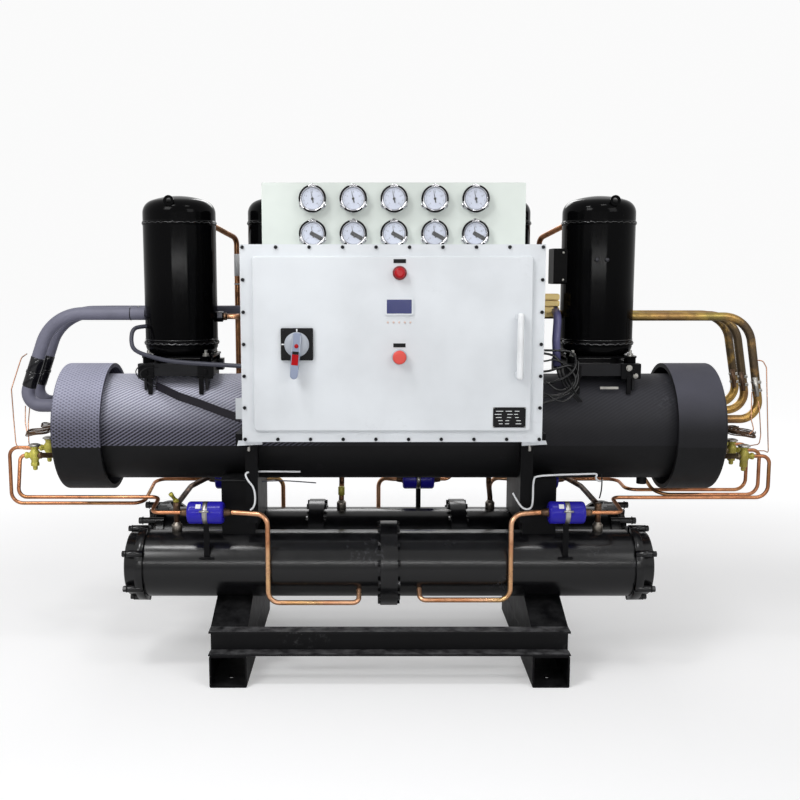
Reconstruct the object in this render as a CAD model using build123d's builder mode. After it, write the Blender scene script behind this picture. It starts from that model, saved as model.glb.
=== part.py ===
from build123d import *
import os
from math import asin, atan2, cos, degrees, hypot, radians, sin, tan

# A skid of two box-section beams carries two rows of condenser shells, one behind the other.
# Two pedestals on the condensers carry the long insulated evaporator, five compressors stand in a
# row on top of it, and the control enclosure hangs in front with the gauge board above it.
# X runs along the evaporator, Y to the back and Z up. The origin is on the floor under the middle.

# Base
foot_width = 119
foot_height = 105
foot_wall = 6
foot_spread = 1025
base_depth = 740
beam_height = 80
beam_flange = 48
beam_web = 6
anchor_hole = 18
anchor_inset = 75

# Condensers
condenser_radius = 109.5
condenser_height = 349
condenser_spacing = 326
condenser_half = 797
joint_radius = 139
joint_thickness = 27.5
rear_joint = 254
cap_radius = 122
cap_length = 73
cap_flange = 26
cap_body = 104
cap_dome = 15
cap_lug = 11
cap_lug_reach = 89
cap_lugs = 6
water_face = 400
condenser_flange_radius = 82.5
condenser_flange_pcd = 125
condenser_bore = 30

# Saddles and pedestals
saddle_wall = 8
saddle_rise = 19.1
cradle_height = 40
pedestal_width = 110
pedestal_spread = 988
pedestal_half_depth = 193
pedestal_drop = 147
pedestal_wall = 8
seat_gap = 0.3

# Evaporator
evaporator_radius = 179
evaporator_height = 787
evaporator_half = 1098
head_radius = 215
head_length = 161
head_lip = 70
head_lip_wall = 14
drain_x = 879
drain_radius = 17
drain_length = 24

# Water connections at the back
nozzle_reach = 530
nozzle_spread = 1500
nozzle_radius = 44.5
nozzle_bore = 40
water_flange_radius = 100
water_flange_thickness = 20
water_flange_pcd = 160
water_flange_holes = 8
water_flange_hole = 18

# Compressors
compressor_count = 5
compressor_pitch = 352
compressor_middle = 2
compressor_radius = 121
compressor_body = 528
dome_height = 58
dome_knuckle = 45
lug_radius = 17
lug_offsets = (-12, 0, 0, 0, 26)
stand_rise = 224
mount_height = 24
stand_length = 250
stand_gauge = 210
stand_rail = 40
stand_wall = 8
port_rise = 126
wrapped_rise = 136
discharge_rise = 439
terminal_rise = 295

# Enclosure
box_width = 890
box_height = 581
box_bottom = 810
box_x = 4
box_front = 473
box_depth = 245
box_rim = 20
rim_thickness = 25
panel_width = 818
panel_height = 513
panel_rise = 12
post_width = 40
post_spread = 890
post_foot = 500

# Gauge board
board_width = 826
board_height = 400
board_top = 1588
board_thickness = 25
board_x = 12
gauge_x = 13
gauge_pitch = 127
gauge_rows = (1537, 1430)
gauge_radius = 42
gauge_lug = 8
gauge_depth = 22

# Controls on the cover, placed from the middle of the panel
switch_x = -279
switch_z = 1.5
switch_plate = 94
switch_plate_thickness = 10
switch_gap = 5
switch_shaft = 8
switch_shaft_gap = 0.3
knob_radius = 36
knob_depth = 30
lever_length = 102
lever_width = 25

# Pipes
discharge_pipe = 19
liquid_pipe = 16
return_pipe = 12.7
suction_pipe = 28.6
wrapped_suction = 44
drier_radius = 36
drier_length = 117
pipe_front = 292
pipe_drop = 254
drier_height = 544
drier_y = 262
drier_inner = 521
drier_shift = -10
middle_drier = 60
bracket_width = 28
bracket_wall = 3
conduit_size = 14
equaliser_pipe = 18
equaliser_nut = 19.5
valve_reach = 74
valve_width = 30
valve_height = 701

os.makedirs("parts", exist_ok=True)

front_row = -condenser_spacing / 2
rear_row = condenser_spacing / 2
beam_bottom = foot_height
beam_top = foot_height + beam_height
pedestal_top = evaporator_height - pedestal_drop
stand_top = evaporator_height + stand_rise
compressor_base = stand_top + mount_height
port_height = compressor_base + port_rise
wrapped_height = compressor_base + wrapped_rise
discharge_height = compressor_base + discharge_rise
compressor_places = [compressor_middle + (i - (compressor_count - 1) / 2) * compressor_pitch
                     for i in range(compressor_count)]


def save(piece, node):
    piece.part.label = node
    export_step(piece.part, f"parts/{node}.step")


# Two box-section beams lie from front to back and are the feet of the machine.
def base_beam(x):
    with BuildPart() as beam:
        with BuildSketch(Plane.XZ.offset(-base_depth / 2)):
            with Locations((x, foot_height / 2)):
                RectangleRounded(foot_width, foot_height, foot_wall)
                Rectangle(foot_width - 2 * foot_wall, foot_height - 2 * foot_wall, mode=Mode.SUBTRACT)
        extrude(amount=base_depth)
        with BuildSketch():
            with Locations((x, 0)):
                with GridLocations(0, base_depth - 2 * anchor_inset, 1, 2):
                    Circle(anchor_hole / 2)
        extrude(amount=foot_wall, mode=Mode.SUBTRACT)
    return beam


for side, name in ((-1, "left"), (1, "right")):
    save(base_beam(side * foot_spread / 2), f"base_beam_{name}")


# A channel section with its flanges outwards joins the beams at the front and at the back.
def cross_beam(side):
    outer = side * base_depth / 2
    length = foot_spread + foot_width
    with BuildPart() as beam:
        with BuildSketch(Plane.YZ.offset(-length / 2)):
            with BuildLine():
                web = outer - side * beam_flange
                inside = web + side * beam_web
                Polyline(
                    (outer, beam_bottom), (web, beam_bottom), (web, beam_top), (outer, beam_top),
                    (outer, beam_top - beam_web), (inside, beam_top - beam_web),
                    (inside, beam_bottom + beam_web), (outer, beam_bottom + beam_web), close=True)
            make_face()
        extrude(amount=length)
    return beam


for side, name in ((-1, "front"), (1, "rear")):
    save(cross_beam(side), f"cross_beam_{name}")


# Each saddle is a hollow bracket with sloping ends, hollowed under both condenser shells.
def saddle(x):
    inner = base_depth / 2 - beam_flange
    crest = condenser_height - condenser_radius + cradle_height
    slope_end = inner - (condenser_height - condenser_radius - beam_top) / tan(radians(saddle_rise))
    with BuildPart() as bracket:
        with BuildSketch(Plane.YZ.offset(x - foot_width / 2)):
            with BuildLine():
                Polyline(
                    (-inner, foot_height), (-inner, beam_top),
                    (-slope_end, condenser_height - condenser_radius),
                    (-slope_end, crest), (slope_end, crest),
                    (slope_end, condenser_height - condenser_radius),
                    (inner, beam_top), (inner, foot_height), close=True)
            make_face()
            with Locations((front_row, condenser_height), (rear_row, condenser_height)):
                Circle(condenser_radius + seat_gap, mode=Mode.SUBTRACT)
        extrude(amount=foot_width)
        with BuildSketch(Plane.YZ.offset(x - foot_width / 2 + saddle_wall)):
            with BuildLine():
                top = condenser_height - condenser_radius - saddle_wall - seat_gap
                Polyline(
                    (-inner + saddle_wall, foot_height), (-inner + saddle_wall, beam_top - saddle_wall),
                    (-slope_end, top), (slope_end, top),
                    (inner - saddle_wall, beam_top - saddle_wall), (inner - saddle_wall, foot_height),
                    close=True)
            make_face()
        extrude(amount=foot_width - 2 * saddle_wall, mode=Mode.SUBTRACT)
    return bracket


for side, name in ((-1, "left"), (1, "right")):
    save(saddle(side * foot_spread / 2), f"saddle_{name}")


# A condenser shell is a steel tube, with a bolting flange wherever it meets the next shell.
def condenser(y, start, end, flanges, bosses):
    with BuildPart() as shell:
        with BuildSketch(Plane.YZ.offset(start)):
            with Locations((y, condenser_height)):
                Circle(condenser_radius)
        extrude(amount=end - start)
        for flange in flanges:
            with BuildSketch(Plane.YZ.offset(flange)):
                with Locations((y, condenser_height)):
                    Circle(joint_radius)
            extrude(amount=joint_thickness)
        for boss, shift in bosses:
            with BuildSketch(Plane.XY.offset(condenser_height)):
                with Locations((boss, y + shift)):
                    Circle(discharge_pipe / 2 + 7)
            extrude(amount=condenser_radius + 18)
            with BuildSketch(Plane.XY.offset(condenser_height + condenser_radius + 6)):
                with Locations((boss, y + shift)):
                    Circle(discharge_pipe / 2 + seat_gap)
            extrude(amount=12, mode=Mode.SUBTRACT)
    return shell


front_inlets = ((-703, 0), (694, 0))
rear_inlets = ((-500, 62), (-166, 0), (375, 0))
save(condenser(front_row, -condenser_half, 0, [-joint_thickness], front_inlets[:1]), "condenser_front_left")
save(condenser(front_row, 0, condenser_half, [0], front_inlets[1:]), "condenser_front_right")
save(condenser(rear_row, -condenser_half, -rear_joint, [-rear_joint - joint_thickness], rear_inlets[:1]),
     "condenser_rear_left")
save(condenser(rear_row, -rear_joint, rear_joint, [-rear_joint, rear_joint - joint_thickness], rear_inlets[1:2]),
     "condenser_rear_middle")
save(condenser(rear_row, rear_joint, condenser_half, [rear_joint], rear_inlets[2:]), "condenser_rear_right")


# The point halfway along a shallow dome of this radius and height that starts at this level
def dome_middle(radius, height, level):
    ball = (radius ** 2 + height ** 2) / (2 * height)
    half = asin(radius / ball) / 2
    return ball * sin(half), level + height - ball + ball * cos(half)


# A cast water box closes each end: a flange with bolt lugs, a domed body and ribs over it.
def water_box(side, y, rear):
    face = side * condenser_half
    outward = Plane(origin=(face, y, condenser_height), x_dir=(0, 1, 0), z_dir=(side, 0, 0))
    profile = Plane(origin=(face, y, condenser_height), x_dir=(side, 0, 0), z_dir=(0, -side, 0))
    with BuildPart() as cap:
        with BuildSketch(profile):
            with BuildLine():
                Line((0, 0), (0, cap_radius))
                Line((0, cap_radius), (cap_flange, cap_radius))
                Line((cap_flange, cap_radius), (cap_flange, cap_body))
                Line((cap_flange, cap_body), (cap_length - cap_dome, cap_body))
                across, along = dome_middle(cap_body, cap_dome, cap_length - cap_dome)
                ThreePointArc((cap_length - cap_dome, cap_body), (along, across), (cap_length, 0))
                Line((cap_length, 0), (0, 0))
            make_face()
        revolve(axis=Axis((face, y, condenser_height), (side, 0, 0)))
        with BuildSketch(outward):
            with PolarLocations(cap_radius - cap_lug / 2, cap_lugs, start_angle=side * 135):
                Circle(cap_lug)
        extrude(amount=cap_lug_reach)
        with BuildSketch(outward):
            with PolarLocations(cap_body * 0.75, cap_lugs, start_angle=side * 135 + 180 / cap_lugs):
                Rectangle(cap_body * 0.66, 12)
        extrude(amount=cap_length - cap_dome * 0.7)
        if rear:
            with BuildSketch(Plane.XZ.offset(-y)):
                with Locations((face + side * cap_length * 0.5, condenser_height)):
                    Circle(nozzle_radius * 0.8)
            extrude(amount=-(water_face - y))
            with BuildSketch(Plane.XZ.offset(-water_face)):
                with Locations((face + side * cap_length * 0.5, condenser_height)):
                    Circle(condenser_flange_radius)
            extrude(amount=water_flange_thickness)
            with BuildSketch(Plane.XZ.offset(-water_face)):
                with Locations((face + side * cap_length * 0.5, condenser_height)):
                    Circle(condenser_bore)
                    with PolarLocations(condenser_flange_pcd / 2, 4, start_angle=45):
                        Circle(water_flange_hole / 2)
            extrude(amount=water_flange_thickness, mode=Mode.SUBTRACT)
            with BuildSketch(Plane.XZ.offset(-water_face)):
                with Locations((face + side * cap_length * 0.5, condenser_height)):
                    Circle(condenser_bore)
            extrude(amount=water_face - y - condenser_radius * 0.6, mode=Mode.SUBTRACT)
    return cap


for side, side_name in ((-1, "left"), (1, "right")):
    for y, row_name in ((front_row, "front"), (rear_row, "rear")):
        save(water_box(side, y, row_name == "rear"), f"water_box_{row_name}_{side_name}")


# A pedestal stands astride both condensers and cradles the evaporator.
def pedestal(x):
    with BuildPart() as stand:
        with BuildSketch(Plane.YZ.offset(x - pedestal_width / 2)):
            with Locations((0, (pedestal_top + condenser_height) / 2)):
                Rectangle(2 * pedestal_half_depth, pedestal_top - condenser_height)
            with Locations((front_row, condenser_height), (rear_row, condenser_height)):
                Circle(condenser_radius + seat_gap, mode=Mode.SUBTRACT)
            with Locations((0, condenser_height)):
                Rectangle(condenser_spacing, 2 * condenser_radius, mode=Mode.SUBTRACT)
            with Locations((0, evaporator_height)):
                Circle(evaporator_radius + seat_gap, mode=Mode.SUBTRACT)
        extrude(amount=pedestal_width)
        with BuildSketch(Plane.YZ.offset(x - pedestal_width / 2 + pedestal_wall)):
            low = condenser_height + condenser_radius + pedestal_wall
            high = evaporator_height - evaporator_radius - pedestal_wall
            with Locations((0, (low + high) / 2)):
                Rectangle(2 * (pedestal_half_depth - pedestal_wall), high - low)
        extrude(amount=pedestal_width - 2 * pedestal_wall, mode=Mode.SUBTRACT)
    return stand


for side, name in ((-1, "left"), (1, "right")):
    save(pedestal(side * pedestal_spread / 2), f"pedestal_{name}")

# The evaporator barrel runs into a larger insulated head at each end.
barrel_half = evaporator_half - head_length + head_lip
with BuildPart() as evaporator_barrel:
    with BuildSketch(Plane.YZ.offset(-barrel_half)):
        with Locations((0, evaporator_height)):
            Circle(evaporator_radius)
    extrude(amount=2 * barrel_half)
    with BuildSketch(Plane.XY.offset(evaporator_height - evaporator_radius - drain_length)):
        with Locations((drain_x, 0)):
            Circle(drain_radius)
    extrude(amount=drain_length + drain_radius)
save(evaporator_barrel, "evaporator_barrel")


def evaporator_head(side):
    inner = side * (evaporator_half - head_length)
    outward = Plane(origin=(inner, 0, evaporator_height), x_dir=(0, 1, 0), z_dir=(side, 0, 0))
    with BuildPart() as head:
        with BuildSketch(outward):
            Circle(head_radius)
        extrude(amount=head_length)
        fillet(head.faces().sort_by(Axis.X)[-1 if side > 0 else 0].edges(), 12)
        with BuildSketch(outward):
            Circle(head_radius - head_lip_wall)
        extrude(amount=head_lip, mode=Mode.SUBTRACT)
    return head


for side, name in ((-1, "left"), (1, "right")):
    save(evaporator_head(side), f"evaporator_head_{name}")

# The two flanged water connections of the evaporator point to the back.
with BuildPart() as water_nozzles:
    for x in (-nozzle_spread / 2, nozzle_spread / 2):
        back = Plane(origin=(x, nozzle_reach, evaporator_height), x_dir=(1, 0, 0), z_dir=(0, -1, 0))
        with BuildSketch(back):
            Circle(nozzle_radius)
        extrude(amount=nozzle_reach)
        with BuildSketch(back):
            Circle(water_flange_radius)
        extrude(amount=water_flange_thickness)
        with BuildSketch(back):
            with PolarLocations(water_flange_pcd / 2, water_flange_holes, start_angle=180 / water_flange_holes):
                Circle(water_flange_hole / 2)
        extrude(amount=water_flange_thickness, mode=Mode.SUBTRACT)
        with BuildSketch(back):
            Circle(nozzle_bore)
        extrude(amount=nozzle_reach - evaporator_radius - 20, mode=Mode.SUBTRACT)
    with BuildSketch(Plane.YZ.offset(-evaporator_half)):
        with Locations((0, evaporator_height)):
            Circle(evaporator_radius)
    extrude(amount=2 * evaporator_half, mode=Mode.SUBTRACT)
save(water_nozzles, "evaporator_water_nozzles")


# Each compressor stands on a welded frame whose end plates are cut to the round of the barrel.
with BuildPart() as compressor_stands:
    for x in compressor_places:
        for y in (-stand_gauge / 2, stand_gauge / 2):
            with BuildSketch(Plane.YZ.offset(x - stand_length / 2)):
                with Locations((y, stand_top - stand_rail / 2)):
                    Rectangle(stand_rail, stand_rail)
            extrude(amount=stand_length)
        for end in (-stand_length / 2 + 20, stand_length / 2 - 20 - stand_wall):
            with BuildSketch(Plane.YZ.offset(x + end)):
                with Locations((0, (stand_top + evaporator_height) / 2)):
                    Rectangle(stand_gauge + stand_rail, stand_top - evaporator_height)
                with Locations((0, evaporator_height + evaporator_radius * 0.32)):
                    Rectangle(2 * evaporator_radius, evaporator_radius * 0.9, mode=Mode.SUBTRACT)
                with Locations((0, evaporator_height)):
                    Circle(evaporator_radius + seat_gap, mode=Mode.SUBTRACT)
            extrude(amount=stand_wall)
save(compressor_stands, "compressor_stands")


# The point at this angle on a circle
def around(centre, radius, angle):
    return centre[0] + radius * cos(radians(angle)), centre[1] + radius * sin(radians(angle))


# A hermetic scroll compressor: dished steel shell, weld rings, foot plate, mounts and lifting eye.
def compressor(x, lug_x):
    place = Plane(origin=(x, 0, compressor_base), x_dir=(1, 0, 0), z_dir=(0, -1, 0))
    shoulder = compressor_body - dome_height
    r = compressor_radius
    inner = r - dome_knuckle
    crown = (inner ** 2 + dome_height ** 2 - dome_knuckle ** 2) / (2 * (dome_height - dome_knuckle))
    turn = degrees(atan2(crown - dome_height, inner))
    low = (0, compressor_body - crown)
    with BuildPart() as shell:
        with BuildSketch(place):
            with BuildLine():
                Line((0, 0), (r * 0.72, 0))
                ThreePointArc((r * 0.72, 0), (r * 0.93, 10), (r, 32))
                Line((r, 32), (r + 4, 34))
                Line((r + 4, 34), (r + 4, 44))
                Line((r + 4, 44), (r, 48))
                Line((r, 48), (r, 430))
                Line((r, 430), (r + 2, 433))
                Line((r + 2, 433), (r + 2, 442))
                Line((r + 2, 442), (r, 445))
                Line((r, 445), (r, shoulder))
                ThreePointArc((r, shoulder), around((inner, shoulder), dome_knuckle, turn / 2),
                              around((inner, shoulder), dome_knuckle, turn))
                ThreePointArc(around(low, crown, turn), around(low, crown, (turn + 90) / 2), (0, compressor_body))
                Line((0, compressor_body), (0, 0))
            make_face()
        revolve(axis=Axis((x, 0, compressor_base), (0, 0, 1)))
        with BuildSketch(Plane.XY.offset(compressor_base - 6)):
            with Locations((x, 0)):
                RectangleRounded(236, 236, 30)
        extrude(amount=6)
        with BuildSketch(Plane.XY.offset(stand_top)):
            with Locations((x, 0)):
                with GridLocations(190, 190, 2, 2):
                    Circle(19)
        extrude(amount=compressor_base - 6 - stand_top)
        eye = Plane(origin=(x + lug_x, -r + 11, compressor_base + compressor_body - lug_radius - 5),
                    x_dir=(1, 0, 0), z_dir=(0, -1, 0))
        with BuildSketch(eye):
            Circle(lug_radius)
        extrude(amount=8)
        with BuildSketch(eye.offset(-4)):
            Circle(lug_radius * 0.5)
        extrude(amount=14, mode=Mode.SUBTRACT)
    return shell


for number, (x, lug_x) in enumerate(zip(compressor_places, lug_offsets), 1):
    save(compressor(x, lug_x), f"compressor_{number}")

# The control enclosure is a deep welded box with a bolting rim all round its open front.
box_middle = box_bottom + box_height / 2
with BuildPart() as enclosure_body:
    with BuildSketch(Plane.XZ.offset(box_front - rim_thickness)):
        with Locations((box_x, box_middle)):
            Rectangle(box_width, box_height)
    extrude(amount=rim_thickness / 2)
    with BuildSketch(Plane.XZ.offset(box_front - rim_thickness)):
        with Locations((box_x, box_middle)):
            RectangleRounded(box_width - 2 * box_rim, box_height - 2 * box_rim, 12)
    extrude(amount=-(box_depth - rim_thickness))
save(enclosure_body, "enclosure_body")

with BuildPart() as enclosure_cover:
    with BuildSketch(Plane.XZ.offset(box_front - rim_thickness / 2)):
        with Locations((box_x, box_middle)):
            Rectangle(box_width, box_height)
    extrude(amount=rim_thickness / 2)
    with BuildSketch(Plane.XZ.offset(box_front)):
        with Locations((box_x, box_middle)):
            RectangleRounded(panel_width, panel_height, 12)
    extrude(amount=panel_rise)
    fillet(enclosure_cover.faces().sort_by(Axis.Y)[0].edges(), 5)
save(enclosure_cover, "enclosure_cover")

# Two posts rise from the pedestals, carry the enclosure on their arms and hold it from behind.
box_back = box_front - box_depth
post_depth = box_back - pedestal_half_depth
for side, name in ((-1, "left"), (1, "right")):
    with BuildPart() as enclosure_post:
        x = side * post_spread / 2
        with BuildSketch(Plane.XY.offset(post_foot)):
            with Locations((x, -box_back + post_depth / 2)):
                Rectangle(post_width, post_depth)
        extrude(amount=box_bottom + box_height * 0.6 - post_foot)
        with BuildSketch(Plane.XY.offset(box_bottom + box_rim - post_width)):
            with Locations((x, -(box_back + box_depth - rim_thickness) / 2 - box_back / 2)):
                Rectangle(post_width, box_depth - rim_thickness)
        extrude(amount=post_width)
    save(enclosure_post, f"enclosure_post_{name}")

# The gauge board is a folded tray that stands up behind the enclosure.
with BuildPart() as gauge_board:
    with BuildSketch(Plane.XZ.offset(box_back - board_thickness)):
        with Locations((board_x, board_top - board_height / 2)):
            RectangleRounded(board_width, board_height, 4)
    extrude(amount=board_thickness)
save(gauge_board, "gauge_board")

with BuildPart() as pressure_gauges:
    for z in gauge_rows:
        for i in range(5):
            x = gauge_x + (i - 2) * gauge_pitch
            with BuildSketch(Plane(origin=(x, -box_back, z), x_dir=(1, 0, 0), z_dir=(0, -1, 0))):
                Circle(gauge_radius)
                with PolarLocations(gauge_radius - gauge_lug / 2, 3, start_angle=90):
                    Circle(gauge_lug)
            extrude(amount=gauge_depth)
save(pressure_gauges, "pressure_gauges")

# The isolator has a square plate with a bore, and a round knob with a lever that turns in it.
panel_face = box_front + panel_rise
plate_face = panel_face + switch_plate_thickness
with BuildPart() as isolator_plate:
    with BuildSketch(Plane.XZ.offset(panel_face)):
        with Locations((box_x + switch_x, box_middle + switch_z)):
            RectangleRounded(switch_plate, switch_plate, 4)
            Circle(switch_shaft + switch_shaft_gap, mode=Mode.SUBTRACT)
    extrude(amount=switch_plate_thickness)
save(isolator_plate, "isolator_plate")

with BuildPart() as isolator_handle:
    with BuildSketch(Plane.XZ.offset(panel_face + switch_shaft_gap)):
        with Locations((box_x + switch_x, box_middle + switch_z)):
            Circle(switch_shaft)
    extrude(amount=switch_plate_thickness + switch_gap)
    with BuildSketch(Plane.XZ.offset(plate_face + switch_gap)):
        with Locations((box_x + switch_x, box_middle + switch_z)):
            Circle(knob_radius)
    extrude(amount=knob_depth * 0.6)
    with BuildSketch(Plane.XZ.offset(plate_face + switch_gap + knob_depth * 0.2)):
        with Locations((box_x + switch_x, box_middle + switch_z - lever_length / 2 + 18)):
            RectangleRounded(lever_width, lever_length + 36, lever_width / 2 - 1)
    extrude(amount=knob_depth * 0.8)
    fillet(isolator_handle.faces().sort_by(Axis.Y)[0].edges(), 4)
save(isolator_handle, "isolator_handle")


# Small fittings on the cover: lamp, display, stop button, pull handle and rating plate.
lamp_place = (20, 208)
display_place = (19, 111)
stop_place = (20, -36)
handle_place = (371, -4)
rating_place = (345, -215)


def on_cover(x, z):
    return Plane(origin=(box_x + x, -panel_face, box_middle + z), x_dir=(1, 0, 0), z_dir=(0, -1, 0))


with BuildPart() as signal_lamp:
    with BuildSketch(on_cover(*lamp_place)):
        Circle(20)
    extrude(amount=8)
    with BuildSketch(on_cover(*lamp_place).offset(8)):
        Circle(16)
    extrude(amount=22)
    fillet(signal_lamp.faces().sort_by(Axis.Y)[0].edges(), 8)
save(signal_lamp, "signal_lamp")

with BuildPart() as display_window:
    with BuildSketch(on_cover(*display_place)):
        RectangleRounded(82, 50, 4)
    extrude(amount=5)
    with BuildSketch(on_cover(*display_place).offset(5)):
        RectangleRounded(70, 38, 2)
    extrude(amount=-2, mode=Mode.SUBTRACT)
save(display_window, "display_window")

with BuildPart() as stop_button:
    with BuildSketch(on_cover(*stop_place)):
        Circle(17)
    extrude(amount=20)
    with BuildSketch(on_cover(*stop_place).offset(16)):
        Circle(20)
    extrude(amount=14)
    fillet(stop_button.faces().sort_by(Axis.Y)[0].edges(), 6)
save(stop_button, "stop_button")

with BuildPart() as cover_handle:
    with BuildSketch(on_cover(*handle_place)):
        with GridLocations(0, 174, 1, 2):
            RectangleRounded(22, 18, 5)
    extrude(amount=24)
    with BuildSketch(on_cover(*handle_place).offset(24)):
        RectangleRounded(28, 198, 5)
    extrude(amount=10)
save(cover_handle, "cover_handle")

with BuildPart() as rating_plate:
    with BuildSketch(on_cover(*rating_place)):
        Rectangle(96, 60)
    extrude(amount=2)
save(rating_plate, "rating_plate")


# A pipe is swept along straight runs joined by bends.
def pipe(points, bend, size):
    with BuildPart() as tube:
        with BuildLine():
            route = FilletPolyline(*points, radius=bend)
        with BuildSketch(Plane(origin=route @ 0, z_dir=route % 0)):
            Circle(size / 2)
        sweep()
    return tube.part


def pipes(node, routes):
    with BuildPart() as group:
        for points, bend, size in routes:
            add(pipe(points, bend, size))
    save(group, node)


# Suction pipes leave the compressors at the side or the back and bend down into the heads.
left_1, left_2, middle, right_4, right_5 = compressor_places
suction_start = compressor_radius + 1
suction_end = evaporator_half + seat_gap
wrapped_x, wrapped_low_x = evaporator_half + 45, evaporator_half + 155
wrapped_in = evaporator_height + 69
suction_x, suction_low_x = evaporator_half + 126, evaporator_half + 182
crossing = evaporator_half - 38
pipes("suction_pipes_left", [
    ([(left_1 - suction_start, 0, wrapped_height), (-wrapped_x, 0, wrapped_height),
      (-wrapped_low_x, 0, wrapped_in), (-suction_end, 0, wrapped_in)], (150, 45), wrapped_suction),
    ([(left_2, suction_start, wrapped_height), (left_2, 165, wrapped_height),
      (80 - crossing, 165, wrapped_height), (-wrapped_x, 110, wrapped_height),
      (-wrapped_low_x, 110, wrapped_in), (-suction_end, 110, wrapped_in)], (24, 80, 150, 45), wrapped_suction),
])


def bare_suction(start, y, back, shift, rise):
    return ([(start, suction_start, port_height), (start, back, port_height), (crossing, back, port_height),
             (suction_x - shift, y, port_height), (suction_low_x - shift, y, evaporator_height + rise),
             (suction_end, y, evaporator_height + rise)], (20, 60, 100, 60), suction_pipe)


pipes("suction_pipes_right", [
    ([(right_5 + suction_start, 0, port_height), (suction_x, 0, port_height),
      (suction_low_x, 0, evaporator_height + 22), (suction_end, 0, evaporator_height + 22)],
     (100, 60), suction_pipe),
    bare_suction(right_4, 85, 150, 16, 42),
    bare_suction(middle, 165, 185, 20, 56),
])

# Discharge pipes run down behind the evaporator to the inlets on top of the condensers.
down = 212
under = evaporator_height - evaporator_radius
inlet_top = condenser_height + condenser_radius + 6
reach = (compressor_radius + 6) * cos(radians(45))


def outer_discharge(side, x, inlet):
    side_x = x - side * 163
    return ([(x - side * reach, reach, discharge_height), (side_x, down, discharge_height - 44),
             (side_x, down, under + 32), (side * 650, down, under - 43), (inlet, 110, under - 58),
             (inlet, front_row, under - 63), (inlet, front_row, inlet_top)],
            (30, 60, 40, 50, 35), discharge_pipe)


def inner_discharge(x, inlet):
    return ([(x, compressor_radius + 3, discharge_height), (x, down, discharge_height),
             (inlet, down, discharge_height - 174), (inlet, down, under - 68),
             (inlet, rear_row, under - 108), (inlet, rear_row, inlet_top)],
            (30, 40, 30, 16), discharge_pipe)


# The second compressor's pipe keeps behind the enclosure and ends on the back of its condenser.
def hidden_discharge(x, turn, inlet, shift):
    back = rear_row + shift
    return ([(x, compressor_radius + 3, discharge_height), (x, down, discharge_height),
             (turn, down, discharge_height - 174), (turn, down, evaporator_height + 90),
             (inlet, back, evaporator_height - 30), (inlet, back, inlet_top)],
            (30, 40, 40, 40), discharge_pipe)


pipes("discharge_pipes_left", [
    outer_discharge(-1, left_1, front_inlets[0][0]),
    hidden_discharge(left_2, left_2 - 80, *rear_inlets[0]),
])
pipes("discharge_pipes_right", [
    inner_discharge(middle, rear_inlets[1][0]),
    inner_discharge(right_4, rear_inlets[2][0]),
    outer_discharge(1, right_5, front_inlets[1][0]),
])

# A short straight pipe equalises the oil of the two compressors on the left.
with BuildPart() as oil_equaliser:
    start, end = left_1 + compressor_radius + 0.5, left_2 - compressor_radius - 0.5
    with BuildSketch(Plane.YZ.offset(start)):
        with Locations((0, port_height)):
            Circle(equaliser_pipe / 2)
    extrude(amount=end - start)
    for nut in (start, end - equaliser_nut):
        with BuildSketch(Plane.YZ.offset(nut)):
            with Locations((0, port_height)):
                RegularPolygon(equaliser_nut, 6)
        extrude(amount=equaliser_nut)
save(oil_equaliser, "oil_equaliser")

drier_outer = drier_inner + drier_length
front_driers = (-drier_outer + drier_shift, drier_inner + drier_shift)
rear_driers = (-drier_outer, middle_drier, drier_inner)
drier_places = [(x, -drier_y) for x in front_driers] + [(x, drier_y) for x in rear_driers]
with BuildPart() as filter_driers:
    for x, y in drier_places:
        with BuildSketch(Plane.YZ.offset(x)):
            with Locations((y, drier_height)):
                Circle(drier_radius)
        extrude(amount=drier_length)
    fillet(filter_driers.edges().filter_by(GeomType.CIRCLE), 10)
save(filter_driers, "filter_driers")

# Each drier hangs in a strap on a leg that stands on the condenser below.
with BuildPart() as drier_brackets:
    for x, y in drier_places:
        strap = drier_radius + seat_gap + bracket_wall
        row = front_row if y < 0 else rear_row
        with BuildSketch(Plane.YZ.offset(x + (drier_length - bracket_width) / 2)):
            with Locations((y, (drier_height + condenser_height) / 2)):
                Rectangle(bracket_wall, drier_height - condenser_height)
            with Locations((y, drier_height)):
                Circle(strap)
                Circle(drier_radius + seat_gap, mode=Mode.SUBTRACT)
            with Locations((row, condenser_height)):
                Circle(condenser_radius + seat_gap, mode=Mode.SUBTRACT)
        extrude(amount=bracket_width)
save(drier_brackets, "drier_brackets")


# Liquid leaves low on each condenser and goes up into a filter drier.
def outlet(row_side, start, turn, level, drier_x):
    axis_y = row_side * condenser_spacing / 2
    out_y = row_side * pipe_front
    length = hypot(out_y - axis_y, level - condenser_height)
    k = (condenser_radius + 0.5) / length
    near = (start, axis_y + k * (out_y - axis_y), condenser_height + k * (level - condenser_height))
    neck = drier_x + (35 if turn > drier_x else -35)
    return ([near, (start, out_y, level), (turn, out_y, level), (turn, out_y, drier_height),
             (neck, row_side * drier_y, drier_height), (drier_x, row_side * drier_y, drier_height)],
            (20, 36, 36, 40), liquid_pipe)


liquid_turn = 389
liquid_start = 98
rear_start = 310
pipes("liquid_pipes_front", [
    outlet(-1, -liquid_start, -liquid_turn, pipe_drop, -drier_inner + drier_shift + seat_gap),
    outlet(-1, liquid_start, liquid_turn, pipe_drop + 9, drier_inner + drier_shift - seat_gap),
])
pipes("liquid_pipes_rear", [
    outlet(1, -rear_start, -liquid_turn, pipe_drop, -drier_inner + seat_gap),
    outlet(1, -liquid_start, middle_drier - 90, pipe_drop, middle_drier - seat_gap),
    outlet(1, rear_start, liquid_turn, pipe_drop, drier_inner - seat_gap),
])

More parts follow.
